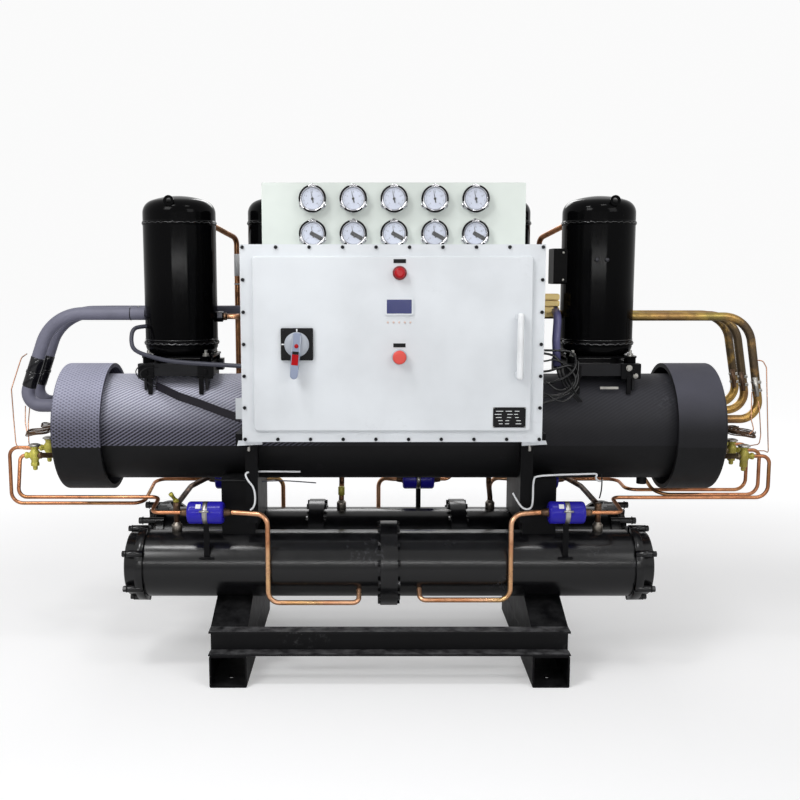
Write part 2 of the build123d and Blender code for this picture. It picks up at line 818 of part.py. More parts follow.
# From each drier a thinner pipe goes outwards under the evaporator and up to an expansion valve.
valve_inner = evaporator_half + valve_reach
valve_outer = valve_inner + valve_width
left_valves = (-100, 50)
right_valves = (-115, 0, 120)


def feed(start, y, turn, run, low, far, valve_y, bends):
    side = 1 if turn > 0 else -1
    return ([(start, y, drier_height), (turn, y, drier_height), (turn, run, drier_height + low),
             (side * far, run, drier_height + low), (side * far, valve_y, valve_height),
             (side * valve_outer, valve_y, valve_height)], bends, return_pipe)


pipes("evaporator_feed_left", [
    feed(-drier_outer + drier_shift - seat_gap, -drier_y, -765, -135, 22, evaporator_half + 138,
         left_valves[0], (25, 25, 30, 18)),
    feed(-drier_outer - seat_gap, drier_y, -860, 50, -42, evaporator_half + 228,
         left_valves[1], (40, 40, 40, 30)),
])
over_driers = drier_height + drier_radius + 60
middle_far = evaporator_half + 186
pipes("evaporator_feed_right", [
    feed(drier_outer + drier_shift + seat_gap, -drier_y, 750, -115, 16, evaporator_half + 175,
         right_valves[0], (25, 25, 40, 25)),
    feed(drier_outer + seat_gap, drier_y, 860, 120, -9, evaporator_half + 188,
         right_valves[2], (40, 40, 40, 25)),
    ([(middle_drier + drier_length + seat_gap, drier_y, drier_height), (middle_drier + 170, drier_y, drier_height),
      (middle_drier + 240, drier_y, over_driers), (900, drier_y, over_driers), (930, 0, drier_height),
      (middle_far, 0, drier_height), (middle_far, 0, valve_height), (valve_outer, 0, valve_height)],
     (30, 40, 60, 60, 40, 25), return_pipe),
])


# An expansion valve: brass body, power element on top and a short outlet into the head.
def valve(side, y):
    across = Plane(origin=(side * suction_end, y, valve_height), x_dir=(0, 1, 0), z_dir=(side, 0, 0))
    body = side * (valve_inner + valve_outer) / 2
    with BuildPart() as fitting:
        with BuildSketch(across):
            Circle(8)
        extrude(amount=valve_outer - suction_end)
        with BuildSketch(Plane.XY.offset(valve_height - 44)):
            with Locations((body, y)):
                Circle(12)
        extrude(amount=72)
        with BuildSketch(Plane.XY.offset(valve_height + 28)):
            with Locations((body, y)):
                Circle(21)
        extrude(amount=12)
    return fitting.part


for side, name, places in ((-1, "left", left_valves), (1, "right", right_valves)):
    with BuildPart() as expansion_valves:
        for y in places:
            add(valve(side, y))
    save(expansion_valves, f"expansion_valves_{name}")

# A terminal box sits on each compressor, at the back apart from the last one's.
terminal_height = compressor_base + terminal_rise
with BuildPart() as terminal_boxes:
    for number, x in enumerate(compressor_places):
        angle = 180 if number == compressor_count - 1 else 90
        direction = (cos(radians(angle)), sin(radians(angle)), 0)
        face = Plane(origin=(x, 0, terminal_height), x_dir=(-direction[1], direction[0], 0), z_dir=direction)
        with BuildSketch(face.offset(compressor_radius - 12)):
            RectangleRounded(96, 118, 8)
        extrude(amount=48)
        with BuildSketch(Plane.XY.offset(terminal_height - 80)):
            with Locations((x, 0)):
                Circle(compressor_radius + seat_gap)
        extrude(amount=160, mode=Mode.SUBTRACT)
save(terminal_boxes, "terminal_boxes")

# A grey conduit runs from the first compressor down to the side of the enclosure.
conduit_x = left_1 - compressor_radius - 28
pipes("conduit_left", [
    ([(left_1 - compressor_radius + 1, -compressor_radius * 0.45, port_height - 30),
      (conduit_x, -80, port_height - 36), (conduit_x, -120, stand_top + 42), (left_1, -190, stand_top + 12),
      (box_x - box_width / 2 + box_rim - 2, -box_back - 22, stand_top + 2)], (14, 30, 40), conduit_size),
])
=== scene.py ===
from math import cos, pi, radians, sin, tan

import bmesh
import bpy
from mathutils import Matrix, Vector


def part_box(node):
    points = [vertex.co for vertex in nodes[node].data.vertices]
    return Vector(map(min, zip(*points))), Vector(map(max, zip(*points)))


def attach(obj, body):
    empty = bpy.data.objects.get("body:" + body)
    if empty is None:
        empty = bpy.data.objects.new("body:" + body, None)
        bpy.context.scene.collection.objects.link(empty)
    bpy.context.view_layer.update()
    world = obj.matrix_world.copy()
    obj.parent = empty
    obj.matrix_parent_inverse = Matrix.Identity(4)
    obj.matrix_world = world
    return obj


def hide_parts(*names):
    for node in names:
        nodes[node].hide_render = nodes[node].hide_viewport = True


# Looks of a skid-mounted water-cooled chiller. Lengths are in metres, or in millimetres where a comment says
# so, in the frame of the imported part: X along the evaporator, Y to the back, Z up, origin on the floor.

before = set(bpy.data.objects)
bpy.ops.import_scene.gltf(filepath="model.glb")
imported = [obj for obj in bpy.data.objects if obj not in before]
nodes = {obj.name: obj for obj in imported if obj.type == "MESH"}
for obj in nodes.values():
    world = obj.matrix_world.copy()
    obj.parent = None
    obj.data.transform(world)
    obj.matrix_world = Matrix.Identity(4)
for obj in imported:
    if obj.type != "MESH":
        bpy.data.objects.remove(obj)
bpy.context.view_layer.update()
MACHINE = "machine"
ISOLATOR = "isolator_handle"


# A new object in the scene
def add(name, data):
    thing = bpy.data.objects.new(name, data)
    bpy.context.scene.collection.objects.link(thing)
    return thing


# Camera at the photograph's angle
camera_data = bpy.data.cameras.new("camera")
camera_data.lens = 45
camera_data.sensor_width = 36
camera_data.shift_x = 0.0375
camera = add("camera", camera_data)
camera.location = (-0.062, -3.406, 1.3115)
camera.rotation_euler = (radians(90 - 7.3), 0, 0)
bpy.context.scene.camera = camera
bpy.context.scene.view_settings.view_transform = "Standard"


# Colours are written as on a screen, in hexadecimal, and turned into linear light, of which share is kept.
def rgb(code, share=1.0):
    def linear(c):
        c /= 255
        return c / 12.92 if c <= 0.04045 else ((c + 0.055) / 1.055) ** 2.4
    return (*(linear(int(code[i:i + 2], 16)) * share for i in (0, 2, 4)), 1)


# A node tree with short names for what the materials and the world below need
class Tree:
    def __init__(self, tree):
        self.tree = tree

    # A node with its settings, and what goes into its sockets
    def new(self, kind, sockets=None, **settings):
        node = self.tree.nodes.new("ShaderNode" + kind)
        for key, value in settings.items():
            setattr(node, key, value)
        for key, value in (sockets or {}).items():
            self.put(node.inputs[key], value)
        return node

    def put(self, socket, value):
        if isinstance(value, bpy.types.NodeSocket):
            self.tree.links.new(value, socket)
        else:
            socket.default_value = rgb(value) if isinstance(value, str) else value

    def math(self, operation, *values):
        return self.new("Math", dict(enumerate(values)), operation=operation).outputs[0]

    def times(self, first, second):
        return self.math("MULTIPLY", first, second)

    def plus(self, first, second):
        return self.math("ADD", first, second)

    def less(self, value):
        return self.math("SUBTRACT", 1.0, value)


# The finishes made below, by name
look = {}


# A new material with its shader, entered in look under its name
class Finish(Tree):
    def __init__(self, name):
        self.material = bpy.data.materials.new(name)
        self.material.use_nodes = True
        super().__init__(self.material.node_tree)
        self.tree.nodes.clear()
        output = self.new("OutputMaterial")
        self.shader = self.new("BsdfPrincipled")
        self.put(output.inputs[0], self.shader.outputs[0])
        self.place = self.new("TexCoord").outputs["Object"]
        look[name] = self.material

    def mix(self, share, first, second):
        return self.new("Mix", {"Factor": share, 6: first, 7: second}, data_type="RGBA").outputs[2]

    def noise(self, scale, detail=3, roughness=0.5, stretch=None):
        place = self.place
        if stretch:
            place = self.new("Mapping", {"Vector": place, "Scale": stretch}).outputs[0]
        sockets = {"Vector": place, "Scale": scale, "Detail": detail, "Roughness": roughness}
        return self.new("TexNoise", sockets).outputs["Fac"]

    # Goes from 0 to 1 as value goes from low to high.
    def ramp(self, value, low, high):
        sockets = {"Value": value, "From Min": low, "From Max": high}
        return self.new("MapRange", sockets, interpolation_type="SMOOTHSTEP").outputs["Result"]

    def split(self, vector):
        return self.new("SeparateXYZ", {0: vector}).outputs

    def normal(self):
        return self.new("NewGeometry").outputs["Normal"]

    def bump(self, height, distance, strength=1.0, under=None):
        sockets = {"Height": height, "Distance": distance, "Strength": strength}
        if under:
            sockets["Normal"] = under
        return self.new("Bump", sockets).outputs[0]

    def done(self, colour, roughness, bump=None, **sockets):
        sockets.update(Base_Color=colour, Roughness=roughness)
        if bump:
            sockets["Normal"] = bump
        for name, value in sockets.items():
            self.put(self.shader.inputs[name.replace("_", " ")], value)


# Painted steel: slow colour drift, orange peel, dust on what faces up (on the cross beams this is also painted light
# on their tops), and rubbed pale scuffs
def paint(name, colour, worn, roughness, spread=0.08, peel=0.00012, dust_and_top_light=0.0, scuffs=0.0, specular=0.5):
    f = Finish(name)
    tone = f.mix(f.ramp(f.noise(3.1, 4), 0.3, 0.75), colour, rgb(colour, 0.82))
    if scuffs:
        marks = f.times(f.ramp(f.noise(5.0, 2), 0.56, 0.72), f.ramp(f.noise(60, 6, 0.7), 0.5, 0.68))
        tone = f.mix(f.times(marks, scuffs), tone, worn)
    # Paler where it faces up: dust, and on the cross beams also painted light on their tops.
    if dust_and_top_light:
        up = f.ramp(f.split(f.normal())[2], 0.35, 0.98)
        dust_and_top_light_mask = f.times(up, f.ramp(f.noise(26, 5, 0.65), 0.25, 0.8))
        tone = f.mix(f.times(dust_and_top_light_mask, dust_and_top_light), tone, worn)
    grain = f.math("MULTIPLY_ADD", f.noise(22, 5), spread * 2, roughness - spread)
    surface = f.bump(f.noise(420, 2), peel, 0.6)
    f.done(tone, grain, surface, Specular_IOR_Level=specular)


# Foam rubber sheet on the evaporator: embossed lines above its lower seam, plain below; painted light makes it paler
# where it faces up, and painted shade makes it near black below the seam
EMBOSS_PITCH = 0.010
EMBOSS_SLOPE = 32
SEAM_HEIGHT = 0.746
AXIS_HEIGHT = 0.787


def foam_sheet(name, radius, lines_lit, lines_shaded, sheet_lit, sheet_shaded, emboss, across=1.0, fade=None):
    f = Finish(name)
    x, y, z = f.split(f.place)
    side, _, up = f.split(f.normal())
    along, rise = cos(radians(EMBOSS_SLOPE)), sin(radians(EMBOSS_SLOPE))
    arc = f.times(f.math("ARCTAN2", y, f.math("SUBTRACT", z, AXIS_HEIGHT)), radius * along)
    end = f.ramp(f.math("ABSOLUTE", side), 0.75, 0.8)
    arc = f.plus(f.times(arc, f.less(end)), f.times(f.times(z, along), end))
    run = f.plus(f.times(f.times(x, rise), f.less(end)), f.times(f.times(y, rise), end))
    rising = f.math("PINGPONG", f.math("SUBTRACT", arc, run), EMBOSS_PITCH / 2)
    falling = f.math("PINGPONG", f.plus(arc, run), EMBOSS_PITCH / 2)
    line_up = f.ramp(rising, EMBOSS_PITCH * 0.16, EMBOSS_PITCH * 0.42)
    line_down = f.times(f.ramp(falling, EMBOSS_PITCH * 0.16, EMBOSS_PITCH * 0.42), across)
    above = f.ramp(z, SEAM_HEIGHT - 0.001, SEAM_HEIGHT + 0.001)
    lines = f.times(f.math("MAXIMUM", line_up, line_down), above)
    # Painted light and shade: the sheet and its lines are paler where they face up and darker where they face down.
    painted_top_light = f.ramp(up, -0.02, 0.78)
    sheet = f.mix(painted_top_light, sheet_shaded, sheet_lit)
    crest = f.mix(painted_top_light, lines_shaded, lines_lit)
    if fade is not None:
        dim = f.ramp(x, fade, fade + 0.35)
        lines = f.times(lines, f.less(f.times(dim, 0.985)))
        sheet = f.mix(dim, sheet, f.mix(painted_top_light, "1a1a1d", "323237"))
    colour = f.mix(f.times(lines, emboss), sheet, crest)
    # Painted shade: below the seam the sheet is darkened to near black.
    colour = f.mix(f.times(f.less(above), 0.9), colour, "0d0d0f")
    colour = f.mix(f.times(f.ramp(f.noise(4.2, 4), 0.35, 0.75), 0.18), colour, "141417")
    chalk = f.times(f.ramp(f.noise(6, 3), 0.6, 0.75), f.ramp(f.noise(75, 5, 0.7), 0.48, 0.7))
    colour = f.mix(f.times(chalk, 0.16), colour, "787880")
    grain = f.bump(f.noise(900, 2), 0.0002, 0.4)
    surface = f.bump(lines, 0.0009, min(1.0, emboss), grain)
    f.done(colour, f.math("MULTIPLY_ADD", f.noise(18, 4), 0.2, 0.46), surface, Specular_IOR_Level=0.22)


# Drawn copper tube: bright or brown, heat-stained and sooty in patches
def copper(name, bright, brown, stain, sooty=0.0, roughness=0.26, metallic=0.85, heat=None, burnt="403b38"):
    f = Finish(name)
    colour = f.mix(f.ramp(f.noise(7, 4, 0.6), 0.35, 0.72), bright, brown)
    colour = f.mix(f.times(f.ramp(f.noise(5.0, 3), 0.52, 0.72), 0.75), colour, stain)
    speckle = f.times(f.ramp(f.noise(48, 5, 0.7), 0.5, 0.66), 0.35)
    colour = f.mix(speckle, colour, rgb(brown, 0.35))
    rough = f.math("MULTIPLY_ADD", f.noise(14, 4), 0.2, roughness - 0.06)
    if sooty:
        soot = f.times(f.ramp(f.noise(17, 5, 0.65), 0.4, 0.62), sooty)
        colour = f.mix(soot, colour, "3a3230")
        rough = f.plus(rough, f.times(soot, 0.25))
    if heat:
        height = f.split(f.place)[2]
        low = f.math("SUBTRACT", f.ramp(height, heat[0] - 0.24, heat[0] - 0.17), f.ramp(height, heat[0], heat[1]))
        share = f.times(low, f.ramp(f.noise(21, 4, 0.6), 0.25, 0.52))
        colour = f.mix(f.times(share, 0.86), colour, burnt)
        rough = f.plus(rough, f.times(share, 0.14))
    scratches = f.noise(120, 3, 0.6, (1, 1, 0.1))
    f.done(colour, rough, f.bump(scratches, 0.0001, 0.4), Metallic=metallic)


def metal(name, colour, roughness):
    f = Finish(name)
    tone = f.mix(f.ramp(f.noise(30, 4), 0.35, 0.75), colour, rgb(colour, 0.72))
    rough = f.math("MULTIPLY_ADD", f.noise(40, 4), 0.16, roughness - 0.05)
    f.done(tone, rough, f.bump(f.noise(240, 3), 0.00008, 0.5), Metallic=1.0)


def plastic(name, colour, roughness, grain=700, specular=0.5, glow=None):
    f = Finish(name)
    tone = f.mix(f.ramp(f.noise(14, 4), 0.35, 0.8), colour, rgb(colour, 0.86))
    rough = f.math("MULTIPLY_ADD", f.noise(60, 3), 0.1, roughness - 0.04)
    sockets = {"Specular_IOR_Level": specular}
    if glow:
        sockets["Emission_Color"] = glow
        sockets["Emission_Strength"] = 0.25
    f.done(tone, rough, f.bump(f.noise(grain, 2), 0.00006, 0.4), **sockets)


paint("frame", "0a0a0c", "7c7c7e", 0.4, dust_and_top_light=0.1, scuffs=0.1, specular=0.1)
paint("stand", "18181b", "6e6e70", 0.36, dust_and_top_light=0.2, scuffs=0.15, specular=0.2)
# The cross beams get strong dust so that their tops are paler: painted light as well as dust.
paint("beam", "111113", "88888a", 0.4, dust_and_top_light=0.6, scuffs=0.15, specular=0.16)
paint("weld", "080809", "46464a", 0.14, 0.04, 0.0006, 0.0, 0.25, 0.9)
paint("shell", "0a0a0c", "606066", 0.21, dust_and_top_light=0.1, scuffs=0.35, specular=0.42)
paint("compressor", "070708", "46464a", 0.11, 0.04, 0.00004, 0.04, 0.05, 0.06)
foam_sheet("foam_left", 0.215, "b6b7cc", "686778", "8c8ca0", "0c0c0f", 0.95)
foam_sheet("foam_barrel", 0.179, "d4d5e4", "706f80", "8e8ea0", "0c0c0f", 1.0, 0.25, -0.5)
foam_sheet("foam_right", 0.215, "54545e", "28282c", "50505a", "18181b", 0.06)
plastic("wrap", "747484", 0.5, 500, 0.3)
plastic("tape", "101014", 0.14, 400, 0.45)
paint("box", "dce0e4", "96989a", 0.36, 0.06, 0.0001, 0.0, 0.1, 0.5)
paint("board", "dee5df", "a0a29e", 0.4, 0.06, 0.0001, 0.0, 0.06, 0.5)
metal("chrome", "ceced1", 0.14)
metal("steel", "b8b6b0", 0.34)
metal("black_bolt", "2c2c2e", 0.38)
metal("nut_black", "3e3e42", 0.3)
metal("solder", "a69e94", 0.4)
copper("brass", "d6ce60", "a8a03e", "8c7c36", 0.05, 0.36, metallic=0.25)
copper("copper_pipe", "eab690", "be8058", "ccaa6c")
copper("copper_discharge", "c48a60", "744a32", "786446", 0.4, heat=(0.56, 0.66), burnt="221c19")
copper("copper_feed", "d49268", "965c3c", "b08650", 0.15)
copper("copper_suction", "c6a056", "96704c", "aaa054", 0.3, 0.3, heat=(1.13, 1.175))
copper("capillary", "d8a484", "ac785a", "be9a70", 0.05, 0.3)
copper("dark_copper", "80644c", "564234", "786e54", 0.5, 0.36)
paint("drier", "2a24ac", "7878be", 0.22, 0.06, 0.0001, 0.0, 0.1, 0.25)
plastic("black", "0b0b0d", 0.45, 700, 0.2)
plastic("grey", "b2b8c1", 0.34)
plastic("lever", "8e98b0", 0.32)
# The red finish glows faintly, also on the isolator lever's red band and the knob's red dot, which are no lamps:
# painted glow there.
plastic("red", "a80814", 0.2, 900, 0.2, "5a040a")
plastic("lamp_rim", "68161e", 0.3, 900, 0.3)
plastic("stop", "de4c42", 0.36)
plastic("screen", "3a3e68", 0.14, 900, 0.4, "22265a")
plastic("deep_black", "040405", 0.4, 700, 0.08)
plastic("gold", "f4d68a", 0.36)
plastic("sleeve", "62608c", 0.36)
plastic("wire", "09090b", 0.2, 700, 0.5)
plastic("pilot", "d6beb4", 0.4)
plastic("dial", "d0d6e6", 0.4)
plastic("white", "eceef0", 0.4)
plastic("tag", "16181c", 0.4, 700, 0.3)
plastic("rubber", "141416", 0.5, 700, 0.3)
plastic("strap_web", "14111b", 0.5, 300, 0.3)
plastic("cable", "42434e", 0.36, 700, 0.3)


# A transparent pane for the gauges
pane = Finish("pane")
pane.done("fafafa", pane.math("MULTIPLY_ADD", pane.noise(40, 3), 0.05, 0.02), Specular_IOR_Level=0.3, Alpha=0.05)


# The material of each CAD node, by the start of its name
node_looks = (
    ("base_beam", "frame"), ("cross_beam", "beam"), ("saddle", "frame"), ("pedestal", "frame"),
    ("condenser", "shell"), ("water_box", "shell"), ("evaporator_water", "shell"), ("evaporator_feed", "copper_feed"),
    ("evaporator_barrel", "foam_barrel"), ("evaporator_head_left", "foam_left"),
    ("evaporator_head_right", "foam_right"), ("compressor_stand", "stand"), ("compressor_", "compressor"),
    ("enclosure_post", "frame"), ("enclosure_", "box"), ("gauge_board", "board"), ("pressure_gauges", "chrome"),
    ("isolator_plate", "black"), ("isolator_handle", "grey"), ("signal_lamp", "red"), ("stop_button", "stop"),
    ("display_window", "box"), ("cover_handle", "box"), ("rating_plate", "black"),
    ("oil_equaliser", "copper_pipe"), ("drier_brackets", "steel"), ("conduit", "cable"),
    ("suction_pipes_left", "wrap"), ("suction_pipes_right", "copper_suction"), ("discharge", "copper_discharge"),
    ("liquid", "copper_pipe"), ("filter_driers", "drier"), ("expansion_valves", "brass"),
    ("terminal_boxes", "deep_black"),
)


def look_of(node):
    for start, name in node_looks:
        if node.startswith(start):
            return look[name]
    raise SystemExit("no look for " + node)


for name, node in nodes.items():
    node.data.materials.clear()
    node.data.materials.append(look_of(name))


# A move, and a turn around the local Z axis
def shift(x, y, z):
    return Matrix.Translation((x, y, z))


def spin(degrees):
    return Matrix.Rotation(radians(degrees), 4, "Z")


# The place of something that stands at a point and faces along an axis, turned by roll degrees
def at(point, axis=(0, 0, 1), roll=0.0):
    turn = Vector(axis).normalized().to_track_quat("Z", "Y").to_matrix().to_4x4()
    return shift(*point) @ turn @ spin(roll)


# Something that faces the front: local X stays X, local Y points up and local Z comes forward
def facing(x, y, z):
    return shift(x, y, z) @ Matrix.Rotation(radians(90), 4, "X")


# A turned profile from numbers in millimetres: a radius and a height for each of its points
def mm(*numbers):
    return [(radius / 1000, height / 1000) for radius, height in zip(numbers[::2], numbers[1::2])]


# A path of straight runs joined by round bends, as points for a tube
def bent(points, radius, steps=6):
    points = [Vector(p) for p in points]
    path = [points[0]]
    for before, corner, after in zip(points, points[1:], points[2:]):
        back = (before - corner).normalized()
        ahead = (after - corner).normalized()
        half = back.angle(ahead) / 2
        if half > radians(89):
            continue
        away = min(radius / tan(half), (before - corner).length * 0.49, (after - corner).length * 0.49)
        turned = away * tan(half)
        centre = corner + (back + ahead).normalized() * (turned / sin(half))
        first = corner + back * away - centre
        last = corner + ahead * away - centre
        for step in range(steps + 1):
            path.append(centre + first.normalized().slerp(last.normalized(), step / steps) * first.length)
    path.append(points[-1])
    return path


# Says what a piece rides on, and the CAD nodes that it stands for
def settle(piece, stands_for, body=MACHINE):
    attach(piece, body)
    if stands_for:
        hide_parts(*stands_for)


# One object made of many small shapes, each with its own finish
class Piece:
    def __init__(self, name):
        self.name = name
        self.mesh = bmesh.new()
        self.finishes = []

    def _finish(self, faces, finish, smooth):
        if finish not in self.finishes:
            self.finishes.append(finish)
        for face in faces:
            face.material_index = self.finishes.index(finish)
            face.smooth = smooth

    # A turned shape: the profile is a list of (radius, height) from bottom to top.
    def lathe(self, profile, place, finish, around=24, smooth=True):
        rings = []
        for radius, height in profile:
            if radius < 1e-6:
                rings.append([self.mesh.verts.new(place @ Vector((0, 0, height)))])
                continue
            rings.append([self.mesh.verts.new(place @ Vector((radius * cos(a), radius * sin(a), height)))
                        for a in (2 * pi * i / around for i in range(around))])
        faces = []
        for low, high in zip(rings, rings[1:]):
            for i in range(around):
                j = (i + 1) % around
                corners = [low[i % len(low)], low[j % len(low)], high[j % len(high)], high[i % len(high)]]
                corners = [v for k, v in enumerate(corners) if v not in corners[:k]]
                if len(corners) > 2:
                    faces.append(self.mesh.faces.new(corners))
        for ring in (rings[0], rings[-1]):
            if len(ring) > 2:
                faces.append(self.mesh.faces.new(ring))
        self._finish(faces, finish, smooth)

    # A flat outline given thickness, with its edges rounded
    def plate(self, outline, thickness, place, finish, bevel=0.0, segments=2):
        before = set(self.mesh.faces)
        low = [self.mesh.verts.new(place @ Vector((x, y, 0))) for x, y in outline]
        high = [self.mesh.verts.new(place @ Vector((x, y, thickness))) for x, y in outline]
        faces = [self.mesh.faces.new(low[::-1]), self.mesh.faces.new(high)]
        count = len(outline)
        for i in range(count):
            j = (i + 1) % count
            faces.append(self.mesh.faces.new((low[i], low[j], high[j], high[i])))
        if bevel:
            edges = list(dict.fromkeys(edge for face in faces for edge in face.edges))
            bmesh.ops.bevel(self.mesh, geom=edges, offset=bevel, segments=segments, affect="EDGES", profile=0.6)
            faces = set(self.mesh.faces) - before
        self._finish(faces, finish, False)

    def block(self, width, depth, thickness, place, finish, bevel=0.0):
        outline = [(-width / 2, -depth / 2), (width / 2, -depth / 2), (width / 2, depth / 2), (-width / 2, depth / 2)]
        self.plate(outline, thickness, place, finish, bevel)

    def rounded(self, width, depth, radius, thickness, place, finish, bevel=0.0):
        outline = []
        for corner in range(4):
            cx = (width / 2 - radius) * (1 if corner in (0, 3) else -1)
            cy = (depth / 2 - radius) * (1 if corner < 2 else -1)
            for step in range(5):
                a = radians(90 * corner + 22.5 * step)
                outline.append((cx + radius * cos(a), cy + radius * sin(a)))
        self.plate(outline, thickness, place, finish, bevel)

    # A round bar or pipe along a path
    def tube(self, path, radius, finish, around=10):
        path = [Vector(p) for p in path]
        rings = []
        side = None
        for i, point in enumerate(path):
            ahead = (path[min(i + 1, len(path) - 1)] - path[max(i - 1, 0)]).normalized()
            if side is None:
                side = ahead.orthogonal().normalized()
            side = (side - ahead * side.dot(ahead)).normalized()
            across = ahead.cross(side)
            rings.append([self.mesh.verts.new(point + (side * cos(a) + across * sin(a)) * radius)
                        for a in (2 * pi * k / around for k in range(around))])
        faces = []
        for low, high in zip(rings, rings[1:]):
            for i in range(around):
                j = (i + 1) % around
                faces.append(self.mesh.faces.new((low[i], low[j], high[j], high[i])))
        faces.append(self.mesh.faces.new(rings[0][::-1]))
        faces.append(self.mesh.faces.new(rings[-1]))
        self._finish(faces, finish, True)

    # A hexagon head with a washer under it
    def bolt(self, place, size, finish, head=None, washer=True):
        head = head or size * 0.7
        base = 0.0
        if washer:
            base = size * 0.14
            self.lathe([(size * 1.15, 0), (size * 1.15, base)], place, finish, 16, False)
        seat = place @ shift(0, 0, base * 0.98)
        six = [(size * cos(radians(60 * i)), size * sin(radians(60 * i))) for i in range(6)]
        self.plate(six, head, seat, finish, size * 0.08, 1)

    # A stud end with its nut
    def nut(self, place, size, finish, stud=0.0):
        self.bolt(place, size, finish)
        if stud:
            self.lathe([(size * 0.52, size * 0.5), (size * 0.52, size * 0.8 + stud), (size * 0.4, size * 0.9 + stud)],
                    place, finish, 10, False)

    # A round ring that lies across the axis of its place
    def ring(self, radius, thickness, place, finish, around, inside):
        centre = place @ Vector((0, 0, 0))
        up = (place @ Vector((0, 0, 1)) - centre).normalized()
        rings = []
        for a in (2 * pi * i / around for i in range(around)):
            point = place @ Vector((radius * cos(a), radius * sin(a), 0))
            out = (point - centre).normalized()
            rings.append([self.mesh.verts.new(point + (out * cos(b) + up * sin(b)) * thickness)
                        for b in (2 * pi * k / inside for k in range(inside))])
        faces = []
        for low, high in zip(rings, rings[1:] + rings[:1]):
            for k in range(inside):
                m = (k + 1) % inside
                faces.append(self.mesh.faces.new((low[k], high[k], high[m], low[m])))
        self._finish(faces, finish, True)

    # Flat numbers, as on a dial
    def number(self, text, height, place, finish):
        curve = bpy.data.curves.new("number", "FONT")
        curve.body = text
        curve.size = height
        curve.align_x = "CENTER"
        curve.align_y = "CENTER"
        holder = bpy.data.objects.new("number", curve)
        flat = bpy.data.meshes.new_from_object(holder)
        before = set(self.mesh.faces)
        old = set(self.mesh.verts)
        self.mesh.from_mesh(flat)
        for vert in set(self.mesh.verts) - old:
            vert.co = place @ vert.co
        self._finish(set(self.mesh.faces) - before, finish, False)
        bpy.data.objects.remove(holder)
        bpy.data.meshes.remove(flat)
        bpy.data.curves.remove(curve)

    def place(self, slot, *stands_for, body=MACHINE):
        bmesh.ops.recalc_face_normals(self.mesh, faces=self.mesh.faces)
        data = bpy.data.meshes.new(self.name)
        self.mesh.to_mesh(data)
        self.mesh.free()
        for finish in self.finishes:
            data.materials.append(look[finish])
        settle(add(self.name, data), stands_for, body)


# A cable is a smooth curve along its route. Its route and diameter are in millimetres.
def cable(name, route, diameter, finish, slot="black_plastic", *stands_for):
    curve = bpy.data.curves.new(name, "CURVE")
    curve.dimensions = "3D"
    curve.bevel_depth = diameter / 2000
    curve.bevel_resolution = 4
    curve.use_fill_caps = True
    spline = curve.splines.new("NURBS")
    spline.points.add(len(route) - 1)
    for point, place in zip(spline.points, route):
        point.co = (*(c / 1000 for c in place), 1)
    spline.order_u = 3
    spline.use_endpoint_u = True
    spline.resolution_u = 8
    curve.materials.append(look[finish])
    settle(add(name, curve), stands_for)


CORNERS = ((-1, -1), (-1, 1), (1, -1), (1, 1))

# Main places, read from the CAD nodes
cover_low, cover_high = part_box("enclosure_cover")
plate_low, plate_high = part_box("isolator_plate")
lamp_low, lamp_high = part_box("signal_lamp")
screen_low, screen_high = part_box("display_window")
stop_low, stop_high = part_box("stop_button")
rating_low, rating_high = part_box("rating_plate")
board_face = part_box("gauge_board")[0].y
panel_face = cover_low.y
PANEL_RISE = 0.012
flange_face = panel_face + PANEL_RISE


def middle(low, high):
    return (low + high) / 2


# Bolts all round the rim of the cover
def cover_bolts():
    piece = Piece("cover_bolts")
    inset = 0.0083
    left, right = cover_low.x + inset, cover_high.x - inset
    low, high = cover_low.z + inset, cover_high.z - inset
    across, upright = 10, 7
    places = [(left + (right - left) * i / (across - 1), z) for i in range(across) for z in (low, high)]
    places += [(x, low + (high - low) * i / (upright - 1)) for i in range(1, upright - 1) for x in (left, right)]
    for x, z in places:
        place = facing(x, flange_face, z)
        piece.lathe(mm(5.2, 0, 5.2, 4.2, 4.6, 5, 2.8, 5, 2.6, 2.8, 0, 2.8), place, "black_bolt", 14, False)
    piece.place("chrome_trim")


cover_bolts()


# Blank black labels over the lamp and the stop button, a row of pilot dots under the display
def cover_fittings():
    piece = Piece("cover_labels")
    lamp = middle(lamp_low, lamp_high)
    stop = middle(stop_low, stop_high)
    screen = middle(screen_low, screen_high)
    piece.block(0.036, 0.0115, 0.0012, facing(lamp.x, panel_face, lamp_high.z + 0.014), "black", 0.0003)
    piece.block(0.036, 0.0115, 0.0012, facing(stop.x, panel_face, stop_high.z + 0.014), "black", 0.0003)
    for i in range(5):
        x = screen.x + (i - 2) * 0.0165
        piece.lathe(mm(3.2, 0, 3.2, 1.4, 2, 2, 0, 2), facing(x, panel_face, screen_low.z - 0.021), "pilot", 12)
    piece.place("black_plastic")

    glass = Piece("display_screen")
    glass.rounded(0.0725, 0.0405, 0.001, 0.001, facing(screen.x, screen_low.y + 0.0006, screen.z), "screen", 0.0003)
    glass.place("display_glass")

    rings = Piece("fitting_rings")
    rings.lathe(mm(20.5, 0, 20.5, 6, 18.5, 9, 16.5, 9), facing(lamp.x, panel_face, lamp.z), "lamp_rim", 32)
    rings.lathe(mm(22.5, 0, 22.5, 4, 20.5, 7, 18, 7), facing(stop.x, panel_face, stop.z), "grey", 32)
    rings.place("chrome_trim")


cover_fittings()


